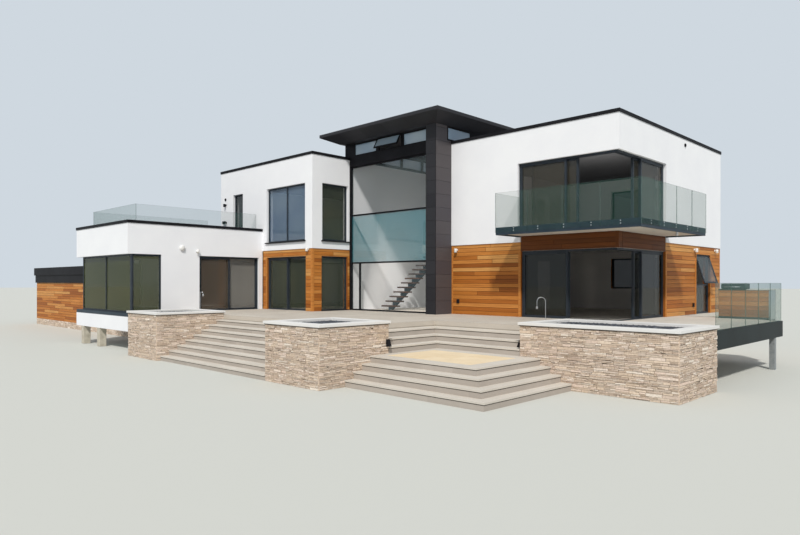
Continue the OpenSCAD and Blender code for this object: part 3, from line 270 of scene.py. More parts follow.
def shaded(tree, share, body, shade):
    """The body colour multiplied by a share of the shade"""
    return add(tree, "Mix", {0: share, 6: body, 7: shade.outputs["Color"]},
               data_type="RGBA", blend_type="MULTIPLY").outputs[2]


def jointed(tree, shader, tone, body, joint):
    """Gives the shader the body colour, and the joint's colour where the tone is below zero"""
    is_joint = add(tree, "Math", {0: tone, 1: -0.5}, operation="LESS_THAN").outputs[0]
    mix = add(tree, "Mix", {0: is_joint, 6: body, 7: linear(joint)}, data_type="RGBA")
    tree.links.new(mix.outputs[2], shader.inputs["Base Color"])


# %% [markdown]
# ### White render
# The walls are a thin-coat silicone render: a 1.5 mm sand grain, almost white, a touch cool, and
# very slightly cloudy where the trowel went. A grain that fine would vanish at this distance, so it
# is drawn at 7 mm. The inside faces of the same walls are a smooth warm plaster paint.


# %% Render and plaster
def clouded(name, low, high, cloud_mm, grain_mm, grain_depth, roughness, **constants):
    """A plain finish with slow clouds between two colours and a fine grain"""
    made, tree, shader, place = finish(name, roughness, **constants)
    cloud = add(tree, "TexNoise", {"Vector": place, "Scale": every(cloud_mm), "Detail": 4.0,
                                   "Roughness": 0.6})
    colour = add(tree, "ValToRGB", {"Fac": cloud.outputs["Fac"]}, stops=[(0.35, low), (0.65, high)])
    tree.links.new(colour.outputs["Color"], shader.inputs["Base Color"])
    grain(tree, shader, place, grain_mm, grain_depth)
    return made


white_render = clouded("silicone_render", "#eaecf1", "#eef0f4", 1200, 7, 0.6, 0.85)
plaster = clouded("plaster_paint", "#e0dedb", "#e5e3e0", 1500, 12, 0.2, 0.7)
concrete = clouded("fair_faced_concrete", "#aba596", "#c4beb0", 260, 9, 1.2, 0.9)
soffit_board = clouded("painted_soffit", "#cfc9be", "#dad5cb", 1200, 10, 0.2, 0.6)

# %% [markdown]
# ### Metals
# The pier, the cappings and the frames of the hall are powder-coated aluminium in a warm charcoal,
# the window and door frames of both wings in a blue grey: a dull satin with a fine orange peel. The
# edge of the balcony is painted steel in a blue grey, that of the side deck a darker one on a
# galvanised post. The lamps are brushed steel. Each sheet of the pier and the roof has its own
# tone, because the light catches each one a little differently.

# %% Coated and bare metals
charcoal = clouded("powder_coated_aluminium", "#1a1a1d", "#222226", 700, 5, 0.15, 0.5,
                   Specular_IOR_Level=0.06)
frame_grey = clouded("powder_coated_frames", "#282e35", "#303740", 700, 5, 0.15, 0.5,
                     Specular_IOR_Level=0.2)
blue_steel = clouded("painted_steel", "#2b3843", "#33404b", 800, 6, 0.2, 0.45, Specular_IOR_Level=0.15)
deck_steel = clouded("painted_steel_of_deck", "#121c1e", "#182325", 800, 6, 0.2, 0.45,
                     Specular_IOR_Level=0.1)
zinc = clouded("galvanised_steel", "#868c8f", "#979c9e", 90, 5, 0.1, 0.5, metallic=0.3)
chrome = clouded("brushed_steel", "#b9bcc0", "#cfd2d6", 60, 2, 0.05, 0.28, metallic=1.0)
white_metal = clouded("white_enamel", "#dcdcda", "#e8e8e6", 80, 3, 0.05, 0.35)
lamp_glass = clouded("opal_lens", "#e9e6da", "#f4f1e8", 40, 3, 0.05, 0.3)


def sheets(name, stops, joint, roughness, peel_mm, gloss=0.18):
    """Sheet metal whose sheets differ by their tone, with a dark joint"""
    made, tree, shader, place, tone, body = toned(name, roughness, stops, Specular_IOR_Level=gloss)
    jointed(tree, shader, tone, body, joint)
    grain(tree, shader, place, peel_mm, 0.2, 0.3)
    return made


pier_sheet = sheets("pier_cassettes", [(0.0, "#27272b"), (0.3, "#2e2e32"), (0.7, "#48454a"),
                                       (1.0, "#524e50")], "#141416", 0.42, 6)
roof_sheet = sheets("roof_sheet", [(0.0, "#2a2a2e"), (1.0, "#323236")], "#161618", 0.45, 6)
membrane = sheets("roof_membrane", [(0.0, "#686b70"), (1.0, "#6f7277")], "#5a5d61", 0.8, 4)

# %% [markdown]
# ### Cedar boards
# The boarding is oiled western red cedar: straight-grained, and no two boards alike, from a deep
# fox brown to a pale honey. The tone of each board picks its colour, and a noise that is stretched
# two hundred times along the board draws the grain. The grain lines are really under a millimetre
# apart, and are drawn 5 mm apart so that they show. The boards under the balcony get the lowest
# tones, from the two darkest stops: painted shade, where the balcony keeps the sun off.


# %% Cedar and oak
def timber(name, stops, joint, line_mm, run_mm, roughness):
    """Oiled timber with its grain along the level, one tone to a board"""
    made, tree, shader, place, tone, body = toned(name, roughness, stops, Specular_IOR_Level=0.25)
    along = add(tree, "Mapping", {"Vector": place, "Scale": (every(run_mm), every(run_mm), every(line_mm))})
    shift = add(tree, "Math", {0: tone, 1: 40.0}, operation="MULTIPLY")
    streaks = add(tree, "TexNoise", {"Vector": along.outputs[0], "W": shift.outputs[0], "Scale": 1.0,
                                     "Detail": 5.0, "Roughness": 0.62}, noise_dimensions="4D")
    dark = add(tree, "ValToRGB", {"Fac": streaks.outputs["Fac"]}, stops=[(0.32, "#8a6f5c"), (0.6, "#ffffff")])
    jointed(tree, shader, tone, shaded(tree, 0.8, body, dark), joint)
    bumped(tree, shader, streaks, 0.35, 1.0)
    return made


# The two lowest stops are painted shade, for the boards under the balcony.
cedar = timber("oiled_cedar", [(0.0, "#633710"), (0.12, "#774316"), (0.2, "#9c5a22"), (0.4, "#b8702c"),
                               (0.6, "#c98138"), (0.8, "#d69149"), (1.0, "#dfa55f")], "#4a2c16", 5, 900, 0.6)
dark_oak = timber("fumed_oak", [(0.0, "#3a221a"), (1.0, "#52311f")], "#1a100c", 4, 400, 0.4)

# %% [markdown]
# ### Stone, paving and slate
# The planter walls are split-face sandstone, laid dry: cream, buff, grey and brown stones, rough
# from the chisel. The treads are a pale sawn sandstone, the terrace slabs a little darker, and the
# risers darker still. The middle of the landing is a yellow sandstone. The copings are a near-white
# cast stone on a mortar bed, which is dark to paint the shadow under them. Slate chippings cover the beds.


# %% Stones and slabs
def stonework(name, stops, joint, blotch_mm, grain_mm, grain_depth, roughness, blotch=0.35):
    """Stone whose pieces differ by their tone, with blotches and a grain"""
    made, tree, shader, place, tone, body = toned(name, roughness, stops)
    spots = add(tree, "TexNoise", {"Vector": place, "Scale": every(blotch_mm), "Detail": 4.0,
                                   "Roughness": 0.65})
    shade = add(tree, "ValToRGB", {"Fac": spots.outputs["Fac"]}, stops=[(0.3, "#a39684"), (0.66, "#ffffff")])
    jointed(tree, shader, tone, shaded(tree, blotch, body, shade), joint)
    grain(tree, shader, place, grain_mm, grain_depth, 0.7)
    return made


walling = stonework("split_face_sandstone", [(0.0, "#c2ae9e"), (0.2, "#d8c4b0"), (0.45, "#e8d6c3"),
                                             (0.6, "#cdbfb1"), (0.8, "#ead5c6"), (1.0, "#f2e8dc")],
                    "#968575", 45, 14, 5.0, 0.92, 0.4)
paving = stonework("sawn_sandstone", [(0.0, "#cac4bb"), (1.0, "#d3cdc4")],
                   "#a19a90", 900, 6, 0.3, 0.8, 0.12)
terrace_stone = stonework("terrace_sandstone", [(0.0, "#beb6ac"), (1.0, "#c6bfb4")],
                          "#98918a", 900, 6, 0.3, 0.8, 0.12)
# The riser's dark joint colour is painted shade: the shadow under each nosing.
riser_stone = stonework("riser_sandstone", [(0.0, "#aca49c"), (1.0, "#b4aca4")],
                        "#68625a", 900, 6, 0.3, 0.82, 0.12)
landing_stone = stonework("landing_sandstone", [(0.0, "#e4cfac"), (1.0, "#ebd9ba")],
                          "#c0ab88", 700, 6, 0.3, 0.8, 0.15)
coping_stone = stonework("cast_stone", [(0.0, "#dcdcdb"), (1.0, "#e3e3e2")],
                         "#a9a9a7", 900, 4, 0.3, 0.7, 0.1)
# A mortar bed, coloured dark to paint the shadow under the copings.
shade_mortar = clouded("bedding_mortar_painted_shade", "#4a443d", "#57504a", 60, 6, 0.5, 0.95)
chippings = stonework("slate_chippings", [(0.0, "#2f333b"), (0.6, "#474c56"), (1.0, "#6c727e")], "#1c1f24",
                      40, 8, 2.0, 0.6)
worktop_stone = stonework("worktop_granite", [(0.0, "#cfcdc8"), (1.0, "#d8d6d1")],
                          "#8d8d8b", 60, 3, 0.1, 0.35)

# %% [markdown]
# ### Glass
# Real glazing could be a refracting shader, but then hardly any light would reach the rooms. Here
# each face of a pane is partly clear, and less so towards the edge of sight. A Fresnel node would
# take the back face of a pane for the inside of the glass and turn it opaque past 41 degrees, so the
# facing angle to the fifth power does the same work on both faces.
# A window is never one colour: it shows a little of the room behind it and a little of what stands
# opposite, and the tints of the panes paint this in. So the panes come in groups: those of the wing
# are green with a painted reflection of the garden, those of the bedroom blue with a painted
# reflection of the sky, one door shows a pale curtain. The balustrades are thick clear glass with a
# dark green tint, and the middle band of the hall is a deep teal.


# %% Glass
def glazing(name, tint, cover, roughness=0.03, gloss=1.0):
    """A pane whose cover grows towards glancing angles"""
    made, tree, shader, place = finish(name, roughness, IOR=1.52, Specular_IOR_Level=gloss)
    waves = add(tree, "TexNoise", {"Vector": place, "Scale": every(1400), "Detail": 1.0})
    colour = add(tree, "ValToRGB", {"Fac": waves.outputs["Fac"]}, stops=[(0.3, tint[0]), (0.7, tint[1])])
    tree.links.new(colour.outputs["Color"], shader.inputs["Base Color"])
    aside = add(tree, "LayerWeight", {"Blend": 0.5})
    glance = add(tree, "Math", {0: aside.outputs["Facing"], 1: 5.0}, operation="POWER")
    alpha = add(tree, "Math", {0: glance.outputs[0], 1: 1 - cover, 2: cover}, operation="MULTIPLY_ADD")
    tree.links.new(alpha.outputs[0], shader.inputs["Alpha"])
    return made


window_glass = glazing("window_glass", ("#26332f", "#2e3d40"), 0.3)
# The green tint is a painted reflection of the garden.
garden_reflection_glass = glazing("window_glass_painted_garden_reflection", ("#3a4018", "#43471f"), 0.68, gloss=0.2)
corner_glass = glazing("window_glass_at_corner", ("#52583c", "#5a6145"), 0.45)
# The blue tint is a painted reflection of the sky.
sky_reflection_glass = glazing("window_glass_painted_sky_reflection", ("#708bab", "#8ca5bb"), 0.3)
curtain_glass = glazing("window_glass_before_curtain", ("#989691", "#aeaca6"), 0.3)
boarding_glass = glazing("window_glass_before_boarding", ("#5f5345", "#75685a"), 0.3)
room_glass = glazing("window_glass_before_room", ("#4a544b", "#5c614e"), 0.3)
ceiling_glass = glazing("window_glass_before_ceiling", ("#3a372d", "#454137"), 0.45, gloss=0.5)
kitchen_glass = glazing("window_glass_before_kitchen", ("#1a1d16", "#20231b"), 0.5, gloss=0.5)
# The clerestory's pale blue tint is a painted reflection of the sky.
clerestory_glass = glazing("clerestory_glass", ("#92b0cc", "#aec2d0"), 0.72)
# The dark tint of the rear panes paints the shade of the rooms that the front windows show.
rear_glass = glazing("rear_glass_painted_shade", ("#22292c", "#2b3236"), 0.82)
hall_glass = glazing("hall_glass", ("#93a6aa", "#9cb0b4"), 0.07)
rail_glass = glazing("balustrade_glass", ("#3f6a5e", "#487266"), 0.10, gloss=0.3)
rail_edge = glazing("balustrade_edge", ("#3f5f58", "#4a6a62"), 0.5, 0.1)
teal_glass = glazing("teal_glass", ("#3f8794", "#4b93a0"), 0.34)
print(len(bpy.data.materials), "materials")

# %% [markdown]
# ## Tools for shaping
# A CAD node comes as loose triangles. To cut it into boards, its mesh is copied and merged. Level
# cuts give the courses, every other flat seam is dissolved, and upright cuts give the joints. An
# inset then raises each board from the joint round it. The skin is first drawn back by the depth
# of the joint, so that the finished boards end where the CAD has the wall.


# %% Copying, cutting and raising
def cad_copy(node):
    """A merged copy of a CAD node's mesh, with a place for the tone of each face"""
    bm = bmesh.new()
    bm.from_mesh(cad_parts[node].data)
    bm.faces.layers.float.new("tone")
    bmesh.ops.remove_doubles(bm, verts=bm.verts[:], dist=0.0004)
    return bm


def flat_seam(edge):
    """Whether an edge only joins two parts of one flat face"""
    return len(edge.link_faces) == 2 and edge.link_faces[0].normal.dot(edge.link_faces[1].normal) > 0.9999


def looks_up(face):
    """Whether a face is the top of something"""
    return face.normal.z > 0.9


def stands(face):
    """Whether a face is upright"""
    return abs(face.normal.z) < 0.1


def height_of(face):
    """How tall a face is"""
    heights = [v.co.z for v in face.verts]
    return max(heights) - min(heights)


def merge_flats(bm):
    """Makes one face of every flat part, however many triangles it came in"""
    bmesh.ops.dissolve_limit(bm, angle_limit=0.01, verts=bm.verts[:], edges=bm.edges[:])


def true_edges(bm):
    """The edges at which the surface turns"""
    return [e for e in bm.edges if len(e.link_faces) == 2 and not flat_seam(e)]


def ease(bm, edges, radius, segments=2, material=-1, clamp=False):
    """Takes the sharpness off the given edges"""
    bmesh.ops.bevel(bm, geom=list(edges), offset=radius, offset_type="OFFSET", segments=segments,
                    profile=0.5, affect="EDGES", material=material, clamp_overlap=clamp)


def set_tone(bm, faces, value):
    """Gives the faces one tone"""
    tone = bm.faces.layers.float["tone"]
    for face in faces:
        face[tone] = value


def extent(faces):
    """The lowest and the highest corner of some faces"""
    corners = [v.co for f in faces for v in f.verts]
    return [Vector(end(c[i] for c in corners) for i in range(3)) for end in (min, max)]


def upright(i, place):
    """The point and the normal of the upright plane at a place along axis i"""
    return tuple(place if k == i else 0 for k in range(3)), tuple(int(k == i) for k in range(3))


def cut(bm, faces, point, normal):
    """Cuts the faces with a plane and returns what they have become"""
    edges = {e for f in faces for e in f.edges}
    verts = {v for f in faces for v in f.verts}
    made = bmesh.ops.bisect_plane(bm, geom=list(faces) + list(edges) + list(verts), dist=1e-5,
                                  plane_co=point, plane_no=normal)
    return [g for g in made["geom"] if isinstance(g, bmesh.types.BMFace)]


def clear_seams(bm, joints):
    """Dissolves every flat seam but those that lie on a joint: an axis and a place along it"""
    seams = [e for e in bm.edges if flat_seam(e) and not any(
        abs(e.verts[0].co[i] - line) < 1e-4 and abs(e.verts[1].co[i] - line) < 1e-4 for i, line in joints)]
    bmesh.ops.dissolve_edges(bm, edges=seams, use_verts=True)


def courses(bm, levels):
    """Cuts the whole mesh at the given levels and clears every other flat seam"""
    for z in levels:
        cut(bm, bm.faces[:], (0, 0, z), (0, 0, 1))
    clear_seams(bm, [(2, z) for z in levels])


def islands(bm):
    """The separate bodies of a mesh, as lists of faces"""
    left, found = set(bm.faces), []
    while left:
        edge_of, body = [left.pop()], []
        while edge_of:
            face = edge_of.pop()
            body.append(face)
            near = {f for e in face.edges for f in e.link_faces if f in left}
            left -= near
            edge_of.extend(near)
        found.append(body)
    return found


def skin(bm):
    """The upright faces on the outside of each body of the mesh"""
    found = []
    for body in islands(bm):
        low, high = extent(body)
        for face in body:
            centre = face.calc_center_median()
            for i in (0, 1):
                for way, end in ((1, high), (-1, low)):
                    if way * face.normal[i] > 0.9 and abs(centre[i] - end[i]) < 0.001:
                        found.append(face)
    return found


def stagger(bm, faces, shortest, longest, dice):
    """Cuts each face upright into lengths between the two, so that the joints never line up"""
    done = []
    for face in faces:
        i = 0 if abs(face.normal.y) > 0.5 else 1
        low, high = (end[i] for end in extent([face]))
        place = low + dice.uniform(0.3, 1.0) * longest
        rest = [face]
        while place < high - shortest * 0.6:
            parts = cut(bm, rest, *upright(i, place))
            done += [f for f in parts if f.calc_center_median()[i] < place]
            rest = [f for f in parts if f.calc_center_median()[i] >= place]
            place += dice.uniform(shortest, longest)
        done += rest
    return done


def draw_back(faces, depth):
    """Moves a skin into its wall by the depth of its joints"""
    moves = {}
    for face in faces:
        for vert in face.verts:
            moves.setdefault(vert, set()).add(tuple(round(c) for c in face.normal))
    for vert, normals in moves.items():
        for normal in normals:
            vert.co -= depth * Vector(normal)


def raise_each(bm, faces, joint, depth, dice, spread=1.0):
    """Gives each face a tone, and raises it out of the joint that runs round it"""
    tone = bm.faces.layers.float["tone"]
    for face in faces:
        face[tone] = dice.random() * spread
    ring = bmesh.ops.inset_individual(bm, faces=faces, thickness=joint, depth=depth)["faces"]
    for face in ring:
        face[tone] = -1.0
    return ring


# %% [markdown]
# A finished bmesh becomes an object that sits at the origin and rides on its body. Some pieces take
# over from a CAD node, which then hides.


# %% From bmesh to piece
def piece(bm, name, slot, *finishes, body="house", replaces=()):
    """Makes the mesh an object with its finishes and its body; the slot is not used"""
    mesh = bpy.data.meshes.new(name)
    bm.to_mesh(mesh)
    bm.free()
    for one in finishes:
        mesh.materials.append(one)
    made = bpy.data.objects.new(name, mesh)
    bpy.context.scene.collection.objects.link(made)
    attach(made, body)
    if replaces:
        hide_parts(*replaces)
    print(name, len(mesh.polygons), "faces")
    return made


def block(bm, low, high, soft=0.0, material=0):
    """A block between two corners, with softened edges"""
    low, high = Vector(low), Vector(high)
    size = Matrix.Diagonal((*(high - low), 1.0))
    made = bmesh.ops.create_cube(bm, size=1.0, matrix=Matrix.Translation((low + high) / 2) @ size)
    edges = {e for v in made["verts"] for e in v.link_edges}
    for face in {f for v in made["verts"] for f in v.link_faces}:
        face.material_index = material
    if soft:
        ease(bm, edges, soft, clamp=True)


def turned(bm, outline, base, axis, steps=20, material=0):
    """A round body: the outline (radius, height) is spun about an axis that starts at base"""
    axis = Vector(axis).normalized()
    across = axis.orthogonal().normalized()
    base = Vector(base)
    verts = [bm.verts.new(base + across * r + axis * h) for r, h in outline]
    edges = [bm.edges.new(pair) for pair in zip(verts, verts[1:])]
    start = len(bm.faces)
    bmesh.ops.spin(bm, geom=verts + edges, cent=base, axis=axis, dvec=(0, 0, 0), angle=math.tau,
                   steps=steps, use_merge=True)
    bm.faces.ensure_lookup_table()
    made = bm.faces[start:]
    bmesh.ops.remove_doubles(bm, verts=list({v for f in made for v in f.verts}), dist=1e-5)
    bm.faces.ensure_lookup_table()
    made = bm.faces[start:]
    bmesh.ops.recalc_face_normals(bm, faces=made)
    for face in made:
        face.smooth = True
        face.material_index = material


print("tools ready")

# %% [markdown]
# ## The boarding
# The ground floor of the block and of the right wing, the garage and the deck counter are clad in
# level cedar boards, 140 mm high, with butt joints that are shuffled from course to course. Rows of
# separate boxes would also do, but cutting the wall itself keeps every window edge exact. The
# narrow faces of a wall are its reveals and are cedar too, and its broad inner faces take the finish
# of the room behind.

# %% Boards on every timber wall
BOARD = 0.14
BOARD_JOINT = 0.007
BOARD_DEPTH = 0.008
BOARD_LENGTHS = 1.2, 3.4
REVEAL = 0.45
board_dice = random.Random(11)
BESIDE_KITCHEN = 2.99
KITCHEN_X = sides("right_lower_front")[0].x + BESIDE_KITCHEN
KITCHEN_Y = 11.8
kitchen = at(KITCHEN_X, KITCHEN_Y, HEAD)


def in_painted_balcony_shade(face, lift=0.0):
    """Whether a face of the right wing lies over the kitchen's open corner, in painted balcony shade"""
    middle = face.calc_center_median()
    return middle.x > kitchen.x and middle.y < kitchen.y and middle.z > kitchen.z + lift


def boarded(node, name, inner=plaster, jambs=()):
    """Cuts a timber wall into boards that stop at the jambs, with another finish on its inner faces"""
    bm = cad_copy(node)
    low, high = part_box(node)
    courses(bm, [low.z + BOARD * k for k in range(1, int((high.z - low.z) / BOARD) + 1)])
    tone = bm.faces.layers.float["tone"]
    outside = skin(bm)
    set_tone(bm, bm.faces, 0.3)
    for face in bm.faces:
        ends = [v.co.xy.to_tuple() for v in face.verts]
        width = (Vector(max(ends)) - Vector(min(ends))).length
        face.material_index = int(abs(face.normal.z) > 0.1 or width > REVEAL)
    for face in outside:
        face.material_index = 0
    draw_back(outside, BOARD_DEPTH)
    for normal in jambs:
        outside = cut(bm, outside, kitchen, normal)
    boards = stagger(bm, outside, *BOARD_LENGTHS, board_dice)
    raise_each(bm, boards, BOARD_JOINT, BOARD_DEPTH, board_dice)
    for face in boards:
        # Boards under the balcony get the lowest tones: painted shade.
        face[tone] = 0.1 * face[tone] if in_painted_balcony_shade(face) else 0.2 + 0.8 * face[tone]
    return piece(bm, name, "cedar", cedar, inner, replaces=(node,))


boarded("right_lower_front", "right_front_boards", jambs=((1, 0, 0),))
boarded("right_lower_walls", "right_side_boards", jambs=((1, 0, 0), (0, 1, 0)))
boarded("block_timber_walls", "block_boards")
boarded("garage_walls", "garage_boards", inner=concrete)
boarded("deck_counter", "counter_boards", inner=worktop_stone)

# %% [markdown]
# ## The stone walls
# Split stones lie in thin courses that start and stop. The wall is first cut into courses, then
# upright into lengths. Most of the lengths are split again into two flat stones, and half of those
# are cut short once more. Each stone stands out by its own depth, a second small inset rounds its
# shoulders, and its corners are shifted a few millimetres, because no split stone is square. At the
# corner of a planter a stone shows its end, so the joint there takes the tone of a darker stone.

# %% Stones of the planters and the plinth
STONE_JOINT = 0.0035
STONE_DEPTH = 0.012
STONE_LENGTHS = 0.14, 0.40
SHORT_STONES = 0.08, 0.22
SPLIT_SHARE, SHORT_SHARE = 0.78, 0.5
PROUDNESS = [0.004 + 0.003 * k for k in range(6)]
SHOULDER = 0.005
END_WIDTH = 0.02
stone_dice = random.Random(7)


def laid_stones(node, name, lowest, highest):
    """Cuts an outer wall face into split stones of many sizes, in courses between two heights"""
    bm = cad_copy(node)
    low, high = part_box(node)
    levels, z = [], low.z + stone_dice.uniform(lowest, highest)
    while z < high.z - lowest * 0.6:
        levels.append(z)
        z += stone_dice.uniform(lowest, highest)
    courses(bm, levels)
    outside = skin(bm)
    arrises = [e for f in outside for e in f.edges if abs(e.verts[0].co.z - e.verts[1].co.z) > 0.02]
    turns = [e.verts[0] for e in arrises if len(e.link_faces) == 2 and not flat_seam(e)]
    draw_back(outside, STONE_DEPTH)
    quoins = {(round(v.co.x, 2), round(v.co.y, 2)) for v in turns}
    stones = []
    for face in stagger(bm, outside, *STONE_LENGTHS, stone_dice):
        bottom = min(v.co.z for v in face.verts)
        if stone_dice.random() < SPLIT_SHARE:
            middle = bottom + height_of(face) * stone_dice.uniform(0.35, 0.65)
            for half in cut(bm, [face], (0, 0, middle), (0, 0, 1)):
                if stone_dice.random() < SHORT_SHARE:
                    stones += stagger(bm, [half], *SHORT_STONES, stone_dice)
                else:
                    stones.append(half)
        else:
            stones.append(face)
    stone_dice.shuffle(stones)
    tone = bm.faces.layers.float["tone"]
    for k, proud in enumerate(PROUDNESS):
        for face in raise_each(bm, stones[k::len(PROUDNESS)], STONE_JOINT, proud, stone_dice):
            middle = face.calc_center_median()
            if any(abs(middle.x - x) < END_WIDTH and abs(middle.y - y) < END_WIDTH for x, y in quoins):
                face[tone] = 0.4 * stone_dice.random()
    bmesh.ops.inset_individual(bm, faces=stones, thickness=SHOULDER, depth=0.003)
    for face in stones:
        outward = face.normal.copy()
        along = outward.cross(Vector((0, 0, 1)))
        for vert in face.verts:
            vert.co += outward * stone_dice.uniform(-0.005, 0.003)
            vert.co += along * stone_dice.uniform(-0.006, 0.006)
            vert.co.z += stone_dice.uniform(-0.0055, 0.0055)
    print(len(stones), "stones")
    return piece(bm, name, "walling_stone", walling, replaces=(node,))


laid_stones("planter_walls", "planter_stones", 0.045, 0.080)
laid_stones("garage_plinth", "plinth_stones", 0.060, 0.090)

# %% [markdown]
# ## Steps and paving
# The treads and their nosings are pale slabs, the risers darker ones. Both are sawn to lengths, so
# the mesh is cut across at every joint, and a thin flat ring is inset round each slab. The finish of
# a face follows from the way it looks: up for a tread, sideways and low for a nosing. A dark strip at
# the top of each riser is painted shade: the shadow under the tread's nosing.

# %% Steps
SLAB = 0.9
SLAB_JOINT = 0.004
NOSING_SHADOW_STRIP = 0.022
NOSING = 0.06
slab_dice = random.Random(5)


def straight_joints(bm, faces, pitch):
    """Cuts each face across its longer level side at every pitch"""
    done = []
    for face in faces:
        low, high = extent([face])
        size = [high[i] - low[i] for i in (0, 1)]
        i = 0 if size[0] >= size[1] else 1
        first = low[i]
        rest = [face]
        for k in range(1, int(size[i] / pitch) + 1):
            place = first + k * pitch
            if place > first + size[i] - pitch * 0.3:
                break
            rest = cut(bm, rest, *upright(i, place))
        done += rest
    return done


def stepped(node, name):
    """Treads, nosings and risers as separate slabs"""
    bm = cad_copy(node)
    merge_flats(bm)
    set_tone(bm, bm.faces, 0.5)
    shown = []
    for face in bm.faces:
        is_nosing = stands(face) and height_of(face) < NOSING
        is_riser = stands(face) and height_of(face) > NOSING and face.normal.y < 0.5
        face.material_index = 0 if looks_up(face) or is_nosing else 1
        if looks_up(face) or is_riser:
            shown.append(face)
    whole, painted_shadow_strips = [], []
    for face in shown:
        if face.material_index == 0:
            whole.append(face)
            continue
        # The top strip of each riser takes the joint colour: the painted shadow under the nosing.
        line = max(v.co.z for v in face.verts) - NOSING_SHADOW_STRIP
        for part in cut(bm, [face], (0, 0, line), (0, 0, 1)):
            (painted_shadow_strips if part.calc_center_median().z > line else whole).append(part)
    set_tone(bm, painted_shadow_strips, -1.0)
    slabs = straight_joints(bm, whole, SLAB)
    bmesh.ops.inset_individual(bm, faces=slabs, thickness=SLAB_JOINT, depth=0.0)
    tone = bm.faces.layers.float["tone"]
    for face in slabs:
        face[tone] = slab_dice.random()
    return piece(bm, name, "paving", paving, riser_stone, replaces=(node,))


stepped("left_steps", "left_flight")
stepped("upper_steps", "upper_flight")
stepped("lower_steps", "lower_flight")

# %% Paved floors
PAVER = 0.6
PAVER_JOINT = 0.003


def paved(node, name, slot="paving", stone=paving, pitch=PAVER):
    """Cuts the top of a floor into square slabs with sunk joints"""
    bm = cad_copy(node)
    low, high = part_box(node)
    joints = [(i, low[i] + k * pitch) for i in (0, 1) for k in range(int((high[i] - low[i]) / pitch) + 2)]
    for i, line in joints:
        if low[i] < line < high[i]:
            cut(bm, [f for f in bm.faces if looks_up(f)], *upright(i, line))
    clear_seams(bm, joints)
    set_tone(bm, bm.faces, 0.5)
    tops = [f for f in bm.faces if looks_up(f)]
    draw_back(tops, PAVER_JOINT)
    raise_each(bm, tops, PAVER_JOINT, PAVER_JOINT, slab_dice)
    return piece(bm, name, slot, stone, replaces=(node,))


paved("terrace_deck", "terrace_slabs", stone=terrace_stone)
paved("side_deck", "side_deck_slabs")
paved("ground_floor", "indoor_tiles", pitch=0.8)

# %% The sandstone field of the landing
EDGE_FRONT, EDGE_REAR = Vector((0.30, 0.34)), Vector((0.42, 0.46))
FIELD_JOINT = 0.002
landing = cad_copy("lower_steps")
landing_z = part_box("lower_steps")[1].z
level = [f for f in landing.faces if looks_up(f) and f.verts[0].co.z > landing_z - 0.001]
landing_low, landing_high = extent(level)
field_low, field_high = landing_low.xy + EDGE_FRONT, landing_high.xy - EDGE_REAR
landing.free()
field = bmesh.new()
field.faces.layers.float.new("tone")
columns, rows = 5, 3
slab = Vector(((field_high.x - field_low.x) / columns, (field_high.y - field_low.y) / rows))
for i in range(columns):
    for j in range(rows):
        corner = field_low + Vector((i * slab.x, j * slab.y))
        start = len(field.faces)
        block(field, (corner.x + FIELD_JOINT, corner.y + FIELD_JOINT, landing_z - 0.01),
              (corner.x + slab.x - FIELD_JOINT, corner.y + slab.y - FIELD_JOINT, landing_z + 0.004))
        field.faces.ensure_lookup_table()
        set_tone(field, field.faces[start:], slab_dice.random())
print("landing field", [round(v, 2) for v in (*(field_low + ORIGIN.xy), *(field_high + ORIGIN.xy))])
piece(field, "landing_field", "paving", landing_stone)

# %% Copings and their bed
BED_IN, BED_WIDTH, BED_DEPTH = 0.022, 0.1, 0.02
coping = cad_copy("planter_copings")
merge_flats(coping)
for face in coping.faces:
    set_tone(coping, [face], slab_dice.random())
# The dark bed under each coping is a mortar bed whose dark colour is painted shade.
bed = bmesh.new()
for body in islands(coping):
    low, high = extent(body)
    low, high = low + Vector((BED_IN, BED_IN, -BED_DEPTH)), Vector((high.x - BED_IN, high.y - BED_IN, low.z))
    front, rear = low.y + BED_WIDTH, high.y - BED_WIDTH
    block(bed, low, (high.x, front, high.z))
    block(bed, (low.x, rear, low.z), high)
    block(bed, (low.x, front, low.z), (low.x + BED_WIDTH, rear, high.z))
    block(bed, (high.x - BED_WIDTH, front, low.z), (high.x, rear, high.z))
piece(bed, "coping_beds_painted_shade", "concrete", shade_mortar)
ease(coping, true_edges(coping), 0.006)
piece(coping, "copings", "coping", coping_stone, replaces=("planter_copings",))

# %% [markdown]
# ## Soft edges on frames and steel
# A knife-sharp edge catches no light. Real sections have a radius of a millimetre or two, and folded
# metal a little more. A bevel on each true edge of the copied mesh gives the bright line. The frame
# of the side deck is one node, so its mesh is cut at the foot of the beam, and the post below gets
# the galvanised finish.

# %% Frames, cappings and steel
EDGE = 0.003
LEAVES = "wing", "block", "kitchen"


def softened(node, slot, metal, radius, body="house"):
    """A copy of a node with a small bevel along each true edge"""
    bm = cad_copy(node)
    merge_flats(bm)
    ease(bm, true_edges(bm), radius, segments=1, clamp=True)
    return piece(bm, node + "_dressed", slot, metal, body=body, replaces=(node,))


for node in ("entrance_frames", "clerestory_frames", "roof_trims", "entrance_beam", "garage_fascia"):
    softened(node, "charcoal_frame", charcoal, EDGE)
for node in ("left_frames", "right_frames"):
    softened(node, "charcoal_frame", frame_grey, EDGE)
for leaf in LEAVES:
    softened(leaf + "_door", "charcoal_frame", frame_grey, EDGE, body=leaf + "_leaf")
for node in ("balcony_edge", "wing_sill", "stair_spine"):
    softened(node, "blue_steel", blue_steel, EDGE)
softened("side_deck_frame", "blue_steel", deck_steel, EDGE)
softened("wing_posts", "concrete", concrete, 0.01)

